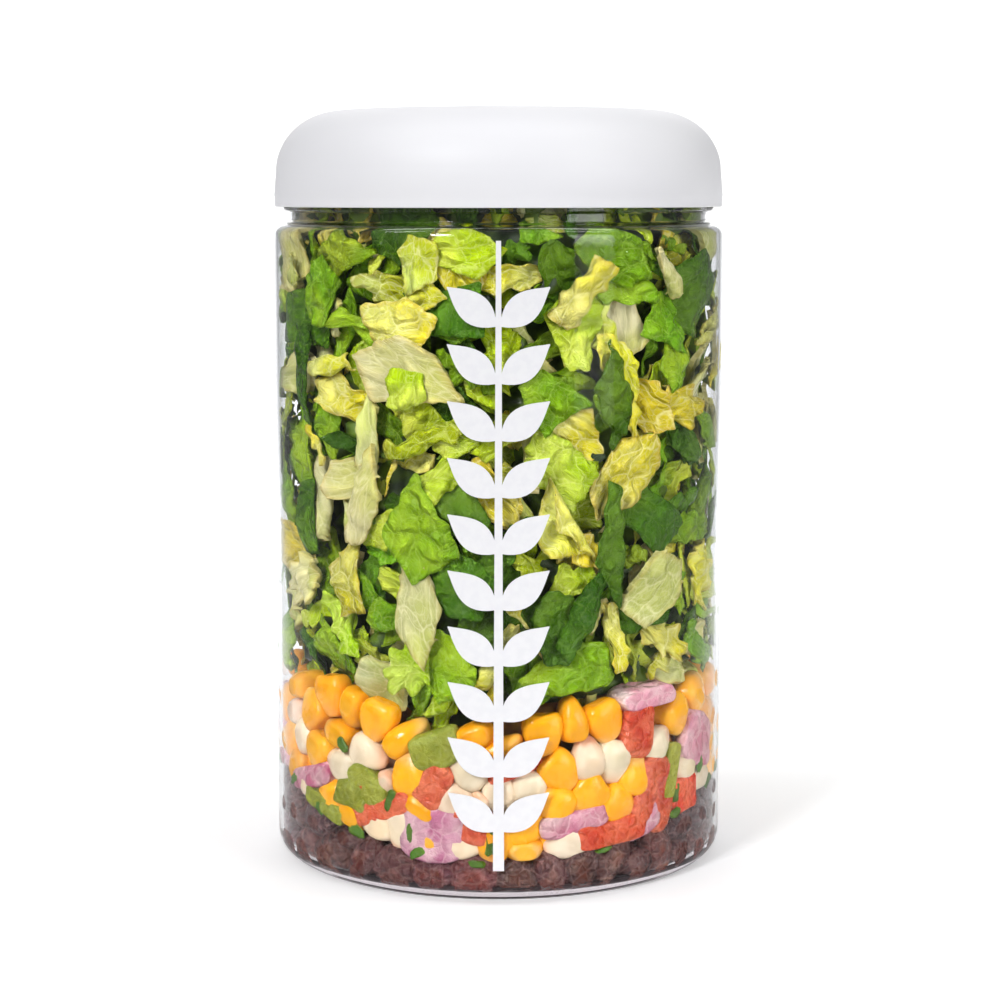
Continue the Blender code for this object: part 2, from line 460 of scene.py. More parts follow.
@dataclass(frozen=True)
class ClearPlastic:
    """Clear bottle plastic. Lamps shine through it, so that the food behind it is lit."""

    name: str = "clear_plastic"
    refraction: float = 1.14
    roughness: float = 0.02
    shade: Colour = (0.985, 0.988, 0.992)
    edge_shade: Colour = (0.58, 0.6, 0.63)
    heel_shade: Colour = (0.6, 0.54, 0.56)
    gloss: float = 1.0

    def build(self, groups: ShaderGroups) -> Material:
        """Makes the material."""
        material, graph, shader = material_graph(self.name)
        # Painted shade: the plastic's colour turns grey towards its silhouettes, where it is seen edge-on.
        facing = graph.add("ShaderNodeLayerWeight", {"Blend": 0.5}).outputs["Facing"]
        edge = graph.ramp(facing, 0.4, 0.92)
        shade = graph.blend(edge, np.array(self.shade), np.array(self.edge_shade))
        place = graph.on_piece()
        height = graph.split(place)[2]
        # Painted shade: the plastic's colour is darker and purplish in the heel and base, below 4.5 mm.
        low = graph.ramp(height, 1.5 * MM, 4.5 * MM, 1.0, 0.0)
        moulding = graph.place(groups.moulding, {"Vector": place, "Wave Scale": 55.0, "Fine Scale": 900.0})
        tilt = graph.split(graph.add("ShaderNodeNewGeometry").outputs["Normal"])[2]
        above = graph.ramp(height, 129.5 * MM, 131.5 * MM, 0.0, 0.5 * self.gloss)
        upward = graph.ramp(tilt, 0.2, 0.5, 0.0, self.gloss)
        values = {
            "Base Color": graph.blend(low, shade, np.array(self.heel_shade), "MULTIPLY"),
            "Roughness": self.roughness,
            "IOR": self.refraction,
            "Transmission Weight": 1.0,
            "Coat Weight": graph.math("MAXIMUM", above, upward),
            "Normal": graph.bump(moulding.outputs["Height"], 0.12, 0.2 * MM),
        }
        graph.fill(shader, values)
        clear = graph.add("ShaderNodeBsdfTransparent", {"Color": (*self.shade, 1.0)})
        ray = graph.add("ShaderNodeLightPath").outputs["Is Shadow Ray"]
        both = graph.add("ShaderNodeMixShader", {0: ray, 1: shader.outputs[0], 2: clear.outputs[0]})
        graph.feed(material.node_tree.nodes["Material Output"].inputs["Surface"], both.outputs[0])
        return material


@dataclass(frozen=True)
class WhitePlastic:
    """Opaque white moulded plastic with a satin gloss."""

    name: str = "white_plastic"
    roughness: tuple[float, float] = (0.44, 0.5)

    def build(self, groups: ShaderGroups) -> Material:
        """Makes the material."""
        material, graph, shader = material_graph(self.name)
        moulding = graph.place(
            groups.moulding, {"Vector": graph.on_piece(), "Wave Scale": 25.0, "Fine Scale": 2500.0}
        )
        mask = moulding.outputs["Mask"]
        values = {
            "Base Color": graph.blend(mask, paint(247, 247, 250), paint(244, 244, 248)),
            "Roughness": graph.ramp(mask, 0.0, 1.0, *self.roughness),
            "Normal": graph.bump(moulding.outputs["Height"], 0.15, 0.2 * MM),
        }
        graph.fill(shader, values)
        return material


@dataclass(frozen=True)
class WhiteInk:
    """Thick white ink, printed on the jar's outside."""

    name: str = "white_print"

    def build(self, groups: ShaderGroups) -> Material:
        """Makes the material."""
        material, graph, shader = material_graph(self.name)
        inputs = {"Vector": graph.on_piece(), "Grain": 2500.0, "Wet": 0.34, "Dry": 0.44}
        moist = graph.place(groups.moist, inputs).outputs
        values = {
            "Base Color": graph.blend(moist["Patch"], paint(245, 245, 248), paint(241, 241, 245)),
            "Roughness": moist["Roughness"],
            "Normal": graph.bump(moist["Height"], 0.1, 0.05 * MM),
        }
        graph.fill(shader, values)
        return material


@dataclass(frozen=True)
class LeafFinish:
    """A wet leaf. Its colour comes with its points, and veins and a quilted relief follow its own map."""

    name: str
    vein: Array
    vein_share: float
    net_share: float
    spacing: float = 0.42
    width: float = 0.04
    wet: float = 0.14
    dry: float = 0.4
    relief: float = 0.85
    stretch: tuple[float, float] = (1.0, 1.0)
    mottle: float = 0.35
    gloss: float = 0.13

    def build(self, groups: ShaderGroups) -> Material:
        """Makes the material."""
        material, graph, shader = material_graph(self.name)
        tint = graph.add("ShaderNodeAttribute", attribute_name=TINT).outputs["Color"]
        place = graph.add("ShaderNodeUVMap", uv_map=LEAF_MAP).outputs[0]
        along = graph.add("ShaderNodeMapping", {"Vector": place, "Scale": (*self.stretch, 1.0)}).outputs[0]
        veins = graph.place(
            groups.veins, {"Vector": along, "Vein Spacing": self.spacing, "Vein Width": self.width}
        )
        moist = graph.place(groups.moist, {"Vector": place, "Grain": 14.0, "Wet": self.wet, "Dry": self.dry})
        veins, moist = veins.outputs, moist.outputs
        # Painted shade: the colour is darkened where the quilted relief sinks, most along the veins.
        sunk = graph.math("MULTIPLY", graph.ramp(veins["Height"], 0.2, 1.1, 1.0, 0.0), self.mottle)
        colour = graph.blend(sunk, tint, np.array((0.30, 0.34, 0.16)), "MULTIPLY")
        patch = graph.math("MULTIPLY", moist["Patch"], 0.25)
        colour = graph.blend(patch, colour, np.array((1.3, 1.3, 1.3)), "MULTIPLY")
        for label, amount in (("Net", self.net_share), ("Veins", self.vein_share)):
            colour = graph.blend(graph.math("MULTIPLY", veins[label], amount), colour, self.vein)
        quilt = graph.bump(veins["Height"], self.relief, 1.1 * MM)
        values = {
            "Base Color": colour,
            "Roughness": moist["Roughness"],
            "Normal": graph.bump(moist["Height"], 0.25, 0.2 * MM, quilt),
            "Specular IOR Level": self.gloss,
        }
        graph.fill(shader, values)
        return material


@dataclass(frozen=True)
class MorselFinish:
    """The moist skin of a kernel, bean or diced piece. Its colour comes with its points."""

    name: str
    fleck: Array
    fleck_share: float
    grain: float = 900.0
    wet: float = 0.14
    dry: float = 0.34
    relief: float = 0.25
    wrinkle: float = 0.0
    cell: float = 1.2 * MM
    lines: float = 0.0
    gloss: float = 0.35

    def build(self, groups: ShaderGroups) -> Material:
        """Makes the material."""
        material, graph, shader = material_graph(self.name)
        tint = graph.add("ShaderNodeAttribute", attribute_name=TINT).outputs["Color"]
        place = graph.on_piece()
        skin = {"Vector": place, "Grain": self.grain, "Wet": self.wet, "Dry": self.dry}
        moist = graph.place(groups.moist, skin).outputs
        # The fleck colour is the skin's own flecks; on the beans it is also painted glints.
        colour = graph.blend(graph.math("MULTIPLY", moist["Patch"], self.fleck_share), tint, self.fleck)
        normal = graph.bump(moist["Height"], self.relief, 0.3 * MM)
        if self.wrinkle:
            folded = graph.add("ShaderNodeMapping", {"Vector": place, "Scale": (1 / self.cell,) * 3}).outputs[0]
            inputs = {"Vector": folded, "Vein Spacing": 1.0, "Vein Width": 0.08}
            veins = graph.place(groups.veins, inputs).outputs
            colour = graph.blend(graph.math("MULTIPLY", veins["Veins"], self.lines), colour, self.fleck)
            normal = graph.bump(veins["Height"], self.wrinkle, 0.35 * self.cell, normal)
        values = {
            "Base Color": colour,
            "Roughness": moist["Roughness"],
            "Normal": normal,
            "Specular IOR Level": self.gloss,
        }
        graph.fill(shader, values)
        return material


# ---------- The jar and its lid ----------


@dataclass(frozen=True)
class Vessel:
    """The jar's sizes. The outer ones come from the frame."""

    radius: float
    rim_z: float
    wall: float = 0.9 * MM
    floor_z: float = 1.8 * MM
    heel: float = 4.75 * MM
    foot_radius: float = 31 * MM
    push_up: float = 0.8 * MM
    push_up_slope: float = 3 * MM
    shoulder_z: float = 131.3 * MM
    shoulder: float = 3.0 * MM
    neck_radius: float = 44.0 * MM
    neck_wall: float = 1.1 * MM
    neck_fillet: float = 0.4 * MM
    bead_radius: float = 45.4 * MM
    bead_z: float = 136.1 * MM
    bead_height: float = 1.5 * MM
    rim_rounding: float = 0.5 * MM

    @property
    def inside(self) -> float:
        """Radius of the straight inner wall."""
        return self.radius - self.wall

    @property
    def neck_inside(self) -> float:
        """Radius of the neck's inner wall."""
        return self.neck_radius - self.neck_wall

    def inner_radius(self, height: Array) -> Array:
        """The inner wall's radius at some heights, with the heel and the shoulder."""
        heel = self.heel - self.wall
        below = np.clip((self.floor_z + heel - height) / heel, 0, 1)
        low = self.inside - heel * (1 - np.sqrt(1 - below**2))
        bend = self.shoulder - self.wall
        above = np.clip((height - self.shoulder_z) / bend, 0, 1)
        shrunk = self.inside - bend * (1 - np.sqrt(1 - above**2))
        high = np.where(
            height > self.shoulder_z + bend, self.neck_inside, np.maximum(shrunk, self.neck_inside)
        )
        return np.where(height < self.shoulder_z, low, high)

    def spot(self, around: Array, height: Array, depth: Array) -> Array:
        """Turns wall coordinates into points.

        Args:
            around: Distance round the inner wall from the middle of the front, to the right.
            height: Height above the surface that the jar stands on.
            depth: Distance behind the inner wall.

        Returns:
            Points, with X, Y and Z on the last axis.
        """
        radius = self.inner_radius(height) - depth
        angle = around / self.inside
        return np.stack([radius * np.sin(angle), -radius * np.cos(angle), height], axis=-1)


class TurnedShell:
    """A Geometry Nodes tree that turns a profile about the Z axis into a closed shell."""

    def __init__(self) -> None:
        """Builds the tree."""
        inputs = {"Profile": "Geometry", "Segments": 96, "Weld": 1e-6, "Finish": "Material"}
        graph = Graph.group("turned_shell", "GeometryNodeTree", inputs, {"Shell": "Geometry"})
        given = graph.given
        count = graph.add("GeometryNodeAttributeDomainSize", {0: given["Profile"]}, component="MESH").outputs[0]
        columns = graph.math("ADD", given["Segments"], 1.0)
        sheet = graph.add("GeometryNodeMeshGrid", {0: 1.0, 1: 1.0, 2: columns, 3: count})
        spot = graph.split(graph.add("GeometryNodeInputPosition").outputs[0])
        across = graph.math("ADD", spot[0], 0.5)
        last = graph.math("SUBTRACT", count, 1.0)
        row = graph.math("ROUND", graph.math("MULTIPLY", graph.math("ADD", spot[1], 0.5), last))
        sample = graph.add("GeometryNodeSampleIndex", data_type="FLOAT_VECTOR", domain="POINT")
        graph.feed(sample.inputs["Geometry"], given["Profile"])
        graph.feed(sample.inputs["Value"], graph.add("GeometryNodeInputPosition").outputs[0])
        graph.feed(sample.inputs["Index"], row)
        profile = graph.split(sample.outputs[0])
        turn = graph.math("MULTIPLY", across, 2 * math.pi)
        x = graph.math("MULTIPLY", profile[0], graph.math("COSINE", turn))
        y = graph.math("MULTIPLY", profile[0], graph.math("SINE", turn))
        point = graph.add("ShaderNodeCombineXYZ", {0: x, 1: y, 2: profile[2]})
        moved = graph.add(
            "GeometryNodeSetPosition", {"Geometry": sheet.outputs[0], "Position": point.outputs[0]}
        )
        welded = graph.add(
            "GeometryNodeMergeByDistance", {"Geometry": moved.outputs[0], "Distance": given["Weld"]}
        )
        graph.dress(welded.outputs[0])
        self.tree = graph.tree

    def make(self, name: str, profile: list, segments: int, finish: Material) -> Piece:
        """Turns one profile.

        Args:
            name: The new piece's name.
            profile: Points (radius, height) that start and end on the axis.
            segments: How many flats go round.
            finish: The shell's material.

        Returns:
            The closed shell, as a plain mesh that faces outwards.
        """
        line = bpy.data.meshes.new(name)
        line.from_pydata([(radius, 0.0, height) for radius, height in profile], [], [])
        shell = placed(name, line)
        run_nodes(shell, self.tree, {"Segments": segments, "Finish": finish})
        work = bmesh.new()
        work.from_mesh(shell.data)
        bmesh.ops.dissolve_degenerate(work, edges=work.edges, dist=1e-7)
        bmesh.ops.recalc_face_normals(work, faces=work.faces)
        if work.calc_volume(signed=True) < 0:
            bmesh.ops.reverse_faces(work, faces=work.faces)
        work.to_mesh(shell.data)
        work.free()
        shell.data.shade_smooth()
        shell.data.set_sharp_from_angle(angle=math.radians(50))
        return shell


def run_nodes(piece: Piece, tree: bpy.types.NodeTree, inputs: dict) -> None:
    """Runs a Geometry Nodes tree on a piece and keeps the result as its plain mesh.

    Args:
        piece: The object whose mesh goes into the tree.
        tree: The tree, with one geometry input and one geometry output.
        inputs: Values for the tree's other inputs, by name.
    """
    modifier = piece.modifiers.new("Nodes", "NODES")
    modifier.node_group = tree
    for item in tree.interface.items_tree:
        if item.in_out == "INPUT" and item.name in inputs:
            modifier[item.identifier] = inputs[item.name]
    piece.update_tag()
    bpy.context.view_layer.update()
    graph = bpy.context.evaluated_depsgraph_get()
    made = bpy.data.meshes.new_from_object(piece.evaluated_get(graph))
    piece.modifiers.remove(modifier)
    old, piece.data = piece.data, made
    bpy.data.meshes.remove(old)
    made.name = piece.name


@dataclass
class Jar:
    """The clear jar: straight wall, rounded heel and shoulder, and a neck with one thread bead."""

    vessel: Vessel
    segments: int = 192
    arc_steps: int = 8

    def profile(self) -> list:
        """The section: over the floor, up the inner wall, round the rim and down the outside."""
        v, steps = self.vessel, self.arc_steps
        heel = v.heel - v.wall
        bend = v.radius - v.shoulder
        inner_shoulder = v.shoulder - v.wall
        top = v.shoulder_z + v.shoulder
        inside = [(0.0, v.floor_z), (v.foot_radius, v.floor_z)]
        inside += arc((v.inside - heel, v.floor_z + heel), (heel, heel), -90, 0, steps)
        inside += arc((bend, v.shoulder_z), (inner_shoulder,) * 2, 0, 80, steps)
        inside += [(v.neck_inside + v.neck_fillet / 2, top - v.wall), (v.neck_inside, top + v.neck_fillet)]
        middle = (v.neck_radius + v.neck_inside) / 2
        rim = arc((middle, v.rim_z - v.rim_rounding), (v.neck_wall / 2, v.rim_rounding), 180, 0, 6)
        bead_middle = v.bead_z + v.bead_height / 2
        bead = (v.bead_radius - v.neck_radius, v.bead_height / 2)
        outside = arc((v.neck_radius, bead_middle), bead, 90, -90, steps)
        fillet = v.neck_fillet
        outside += arc((v.neck_radius + fillet, top + fillet), (fillet, fillet), 180, 270, 4)
        outside += arc((bend, v.shoulder_z), (v.shoulder,) * 2, 90, 0, steps)[1:]
        outside += arc((v.radius - v.heel, v.heel), (v.heel,) * 2, 0, -90, steps)
        step = v.foot_radius - v.push_up_slope
        outside += [(v.foot_radius, 0.0), (step, v.push_up), (0.0, v.push_up)]
        return inside + rim + outside

    def build(self, shells: TurnedShell, finish: Material) -> None:
        """Makes the jar."""
        piece = shells.make("jar_shell", self.profile(), self.segments, finish)
        hand_over(piece, "clear_plastic", "jar")


@dataclass
class Lid:
    """The white lid: straight skirt, broad rounded edge and a slightly domed top."""

    radius: float
    bottom_z: float
    top_z: float
    wall: float = 1.4 * MM
    edge_width: float = 13.6 * MM
    edge_height: float = 12.6 * MM
    crown: float = 0.8 * MM
    lip: float = 0.35 * MM
    draft: float = 0.7 * MM
    lift: float = 0.45 * MM
    groove: float = 0.12 * MM
    groove_z: float = 2.1 * MM
    segments: int = 192

    def profile(self) -> list:
        """The section: over the dome and down the skirt, then up the inside to the crown."""
        edge_z = self.top_z - self.crown - self.edge_height
        bottom = self.bottom_z + self.lift
        middle = (self.radius - self.draft - self.edge_width, edge_z)
        top = edge_z + self.edge_height
        inner = self.radius - self.draft - self.wall
        profile = [(0.0, self.top_z), (middle[0] * 0.3, self.top_z - self.crown * 0.09)]
        profile += [(middle[0] * 0.6, self.top_z - self.crown * 0.36)]
        profile += arc(middle, (self.edge_width, self.edge_height), 90, 0, 26)
        ring, skirt = bottom + self.groove_z, self.radius - 0.4 * self.draft
        profile += [(skirt, ring + self.groove), (skirt - self.groove, ring)]
        profile += [(skirt - self.groove, bottom + self.lip)]
        corner = (skirt - self.groove - self.lip, bottom + self.lip)
        profile += arc(corner, (self.lip,) * 2, 0, -90, 4)[1:]
        profile += [(inner + self.lip, bottom), (inner, bottom + self.lip)]
        profile += arc(middle, (self.edge_width - self.wall, self.edge_height - self.wall), 0, 90, 14)
        profile += [(0.0, top + self.crown - self.wall)]
        return profile

    def build(self, shells: TurnedShell, finish: Material) -> None:
        """Makes the lid."""
        piece = shells.make("lid_cap", self.profile(), self.segments, finish)
        hand_over(piece, "white_plastic", "lid")


# ---------- Leaves ----------


class LeafKind(Enum):
    """Which leaf a piece was cut from."""

    RIB = "rib"
    HEART = "heart"
    LIME = "lime"
    GREEN = "green"
    SPINACH = "spinach"


class LeafForm(Enum):
    """How a piece lies."""

    FLAT = "flat"
    CURLED = "curled"
    ROLLED = "rolled"
    CUPPED = "cupped"
    FOLDED = "folded"
    FRILLED = "frilled"


# How common each form is among the loose pieces, and its least and greatest bend.
FORMS = {
    LeafForm.FLAT: (0.14, (0.1, 0.6)),
    LeafForm.CURLED: (0.28, (1.0, 1.7)),
    LeafForm.ROLLED: (0.16, (2.0, 2.7)),
    LeafForm.CUPPED: (0.16, (0.5, 1.0)),
    LeafForm.FOLDED: (0.16, (0.1, 0.6)),
    LeafForm.FRILLED: (0.1, (0.4, 1.2)),
}


@dataclass(frozen=True)
class LeafStock:
    """What all the pieces of one kind share.

    Colours run from the midrib's side to the leaf's margin. Lengths are in metres.
    """

    piece: str
    midrib: Array
    blade: Array
    margin: Array
    spread: float
    thickness: float
    crumple: float
    share: float


STOCKS = {
    LeafKind.RIB: LeafStock(
        "romaine_ribs", paint(218, 214, 160), paint(208, 210, 122), paint(212, 192, 108),
        0.05, 1.0 * MM, 0.5 * MM, 0.1,
    ),
    LeafKind.HEART: LeafStock(
        "romaine_hearts", paint(232, 224, 116), paint(224, 212, 44), paint(226, 194, 70),
        0.08, 0.3 * MM, 0.9 * MM, 0.18,
    ),
    LeafKind.LIME: LeafStock(
        "romaine_inner", paint(210, 220, 76), paint(176, 202, 8), paint(180, 200, 28),
        0.08, 0.25 * MM, 0.9 * MM, 0.26,
    ),
    LeafKind.GREEN: LeafStock(
        "romaine_outer", paint(154, 184, 36), paint(108, 152, 4), paint(118, 158, 12),
        0.1, 0.25 * MM, 0.8 * MM, 0.26,
    ),
    LeafKind.SPINACH: LeafStock(
        "spinach_leaves", paint(100, 138, 36), paint(62, 102, 6), paint(66, 106, 14),
        0.1, 0.25 * MM, 0.6 * MM, 0.2,
    ),
}


@dataclass(frozen=True)
class Leaf:
    """One chopped piece and where it lies: degrees round from the front, and millimetres."""

    around: float
    height: float
    length: float
    width: float
    turn: float
    kind: LeafKind
    form: LeafForm


def _arranged_leaves() -> list[Leaf]:
    """The larger pieces that lie against the wall at the front, from the outermost inwards."""
    rib, heart, lime, green, spinach = LeafKind
    flat, curled, rolled, cupped, folded, frilled = LeafForm
    rows = (
        (-24, 102, 10, 12, 80, lime, cupped), (-25, 105, 27, 15, -22, rib, flat),
        (-20, 73, 30, 16, -68, green, cupped), (-37, 79, 24, 10, 70, rib, curled),
        (-36, 92, 20, 9, 88, rib, curled), (-22, 91, 23, 9, 14, lime, rolled),
        (-25, 115, 21, 12, -8, heart, flat), (-20, 126, 13, 10, 88, heart, flat),
        (-19, 121, 12, 9, 0, heart, cupped), (-51, 120, 16, 15, 60, green, cupped),
        (-36, 113, 28, 9, -50, green, folded), (-44, 83, 12, 10, 10, rib, flat),
        (-11, 93, 11, 10, 0, lime, cupped), (-59, 104, 28, 10, 82, spinach, curled),
        (-48, 106, 15, 9, 0, heart, rolled), (-45, 100, 17, 9, -15, heart, frilled),
        (-42, 63, 19, 17, -60, heart, frilled), (-21, 58, 24, 10, -74, rib, flat),
        (-15, 85, 15, 11, 30, lime, curled), (-45, 53, 16, 10, -38, lime, rolled),
        (-30, 56, 14, 10, 0, green, curled), (-49, 48, 20, 14, -52, green, curled),
        (-61, 61, 13, 10, 20, rib, frilled), (-58, 74, 20, 12, 80, spinach, curled),
        (-60, 86, 19, 12, -72, green, folded), (-20, 95, 13, 12, 30, lime, flat),
        (-10, 79, 17, 15, -40, spinach, flat), (-10, 64, 17, 13, -50, spinach, flat),
        (-24, 46, 13, 12, 20, lime, frilled), (-14, 47, 18, 14, -50, green, flat),
        (33, 70, 27, 14, -66, spinach, folded), (31, 100, 27, 11, -80, spinach, curled),
        (33, 107, 18, 10, -58, heart, curled), (14, 100, 16, 13, -42, green, flat),
        (18, 75, 19, 15, -48, heart, folded), (15, 86, 27, 13, -36, lime, cupped),
        (35, 85, 22, 14, 52, heart, flat), (44, 61, 18, 13, 42, rib, flat),
        (22, 57, 25, 9, 56, spinach, curled), (15, 55, 17, 13, -80, spinach, flat),
        (22, 121, 18, 14, 45, heart, rolled), (49, 124, 16, 7, -72, rib, curled),
        (31, 128, 20, 12, -32, green, flat), (34, 121, 17, 10, -6, green, curled),
        (49, 114, 18, 15, -40, green, cupped), (52, 106, 13, 11, -70, green, cupped),
        (21, 114, 17, 14, 50, lime, flat), (30, 113, 16, 9, -85, heart, curled),
        (37, 114, 15, 10, -80, rib, flat), (37, 98, 16, 7, -84, heart, rolled),
        (44, 98, 14, 11, -50, heart, cupped), (56, 97, 16, 10, 0, heart, frilled),
        (19, 92, 18, 14, -24, heart, flat), (43, 77, 20, 17, -50, spinach, flat),
        (23, 70, 13, 10, -50, heart, curled), (57, 72, 18, 10, 20, green, curled),
        (65, 63, 15, 11, -75, heart, frilled), (20, 63, 15, 11, 10, lime, frilled),
        (32, 53, 15, 10, -80, heart, rolled), (42, 55, 17, 8, 20, spinach, curled),
        (19, 46, 22, 12, 6, green, flat), (49, 50, 13, 10, -40, heart, frilled),
        (61, 119, 21, 18, 60, spinach, flat), (-30, 121, 15, 10, -10, heart, frilled),
        (-43, 128, 22, 12, -10, green, cupped), (-9, 129, 17, 10, -6, lime, flat),
        (-11, 117, 16, 14, -60, spinach, flat), (-58, 115, 19, 16, 10, spinach, flat),
    )
    return [Leaf(*row) for row in rows]


@dataclass
class WallStack:
    """How deep behind the inner wall each spot round the jar is already filled."""

    vessel: Vessel
    low: float
    high: float
    cell: float = 0.7 * MM
    spread: float = 2.4 * MM
    gap: float = 0.06 * MM

    def __post_init__(self) -> None:
        """Starts with nothing behind the wall."""
        self.girth = 2 * math.pi * self.vessel.inside
        self.columns = int(self.girth / self.cell)
        self.rows = int((self.high - self.low) / self.cell)
        self.filled = np.full((self.columns, self.rows), -0.2 * MM)

    def cells(self, around: Array, height: Array) -> tuple[Array, Array]:
        """The cell that each spot lies in."""
        column = np.floor(around / self.girth * self.columns).astype(int) % self.columns
        row = np.clip(((height - self.low) / self.cell).astype(int), 0, self.rows - 1)
        return column, row

    def settle(self, around: Array, height: Array, depth: Array) -> Array:
        """Pushes a piece inwards until it is behind everything that lies there already.

        Args:
            around: Where the piece's points lie round the wall.
            height: Their heights.
            depth: Their depths before the push.

        Returns:
            Their depths after it. The push changes smoothly, so the piece drapes and bridges gaps.
        """
        needed = np.maximum(self.filled[self.cells(around, height)] + self.gap - depth, 0)
        left, low = around.min(), height.min()
        u = (around - left) / self.spread + 2
        v = (height - low) / self.spread + 2
        grid = np.zeros((int(u.max()) + 4, int(v.max()) + 4))
        np.maximum.at(grid, (np.rint(u).astype(int), np.rint(v).astype(int)), needed)
        grid = neighbours(neighbours(grid, np.maximum), None)
        i, j = u.astype(int), v.astype(int)
        a, b = u - i, v - j
        push = grid[i, j] * (1 - a) * (1 - b) + grid[i + 1, j] * a * (1 - b)
        push += grid[i, j + 1] * (1 - a) * b + grid[i + 1, j + 1] * a * b
        return depth + np.maximum(push, needed)

    def fill(self, around: Array, height: Array, depth: Array, thickness: float) -> None:
        """Marks a sheet of points as filled, down to its back."""
        for _ in range(2):
            around, height, depth = (finer(values) for values in (around, height, depth))
        np.maximum.at(self.filled, self.cells(around, height), depth + thickness)

    def open_spot(self, low: float, high: float, random: Rng) -> tuple[float, float]:
        """A random spot, most likely where little is filled.

        Args:
            low: Lowest height.
            high: Highest height.
            random: Source of the choice.

        Returns:
            Distance round the wall, and height.
        """
        first, last = int((low - self.low) / self.cell), int((high - self.low) / self.cell)
        chance = np.exp(-self.filled[:, first:last] / (1.6 * MM)).ravel()
        pick = random.choice(chance.size, p=chance / chance.sum())
        column, row = divmod(pick, last - first)
        return (column + 0.5) * self.girth / self.columns, low + (row + 0.5) * self.cell


def neighbours(grid: Array, choose: Optional[Callable]) -> Array:
    """Each cell with its eight neighbours: their largest value, or with no choice their mean."""
    padded = np.pad(grid, 1, mode="edge")
    rows, columns = grid.shape
    shifted = [padded[i : i + rows, j : j + columns] for i in range(3) for j in range(3)]
    if choose is None:
        return sum(shifted) / len(shifted)
    return np.maximum.reduce(shifted)


def finer(values: Array) -> Array:
    """A grid of values with one more between each two."""
    rows, columns = values.shape
    made = np.empty((2 * rows - 1, 2 * columns - 1))
    made[::2, ::2] = values
    made[1::2, ::2] = (values[1:] + values[:-1]) / 2
    made[:, 1::2] = (made[:, 2::2] + made[:, :-2:2]) / 2
    return made


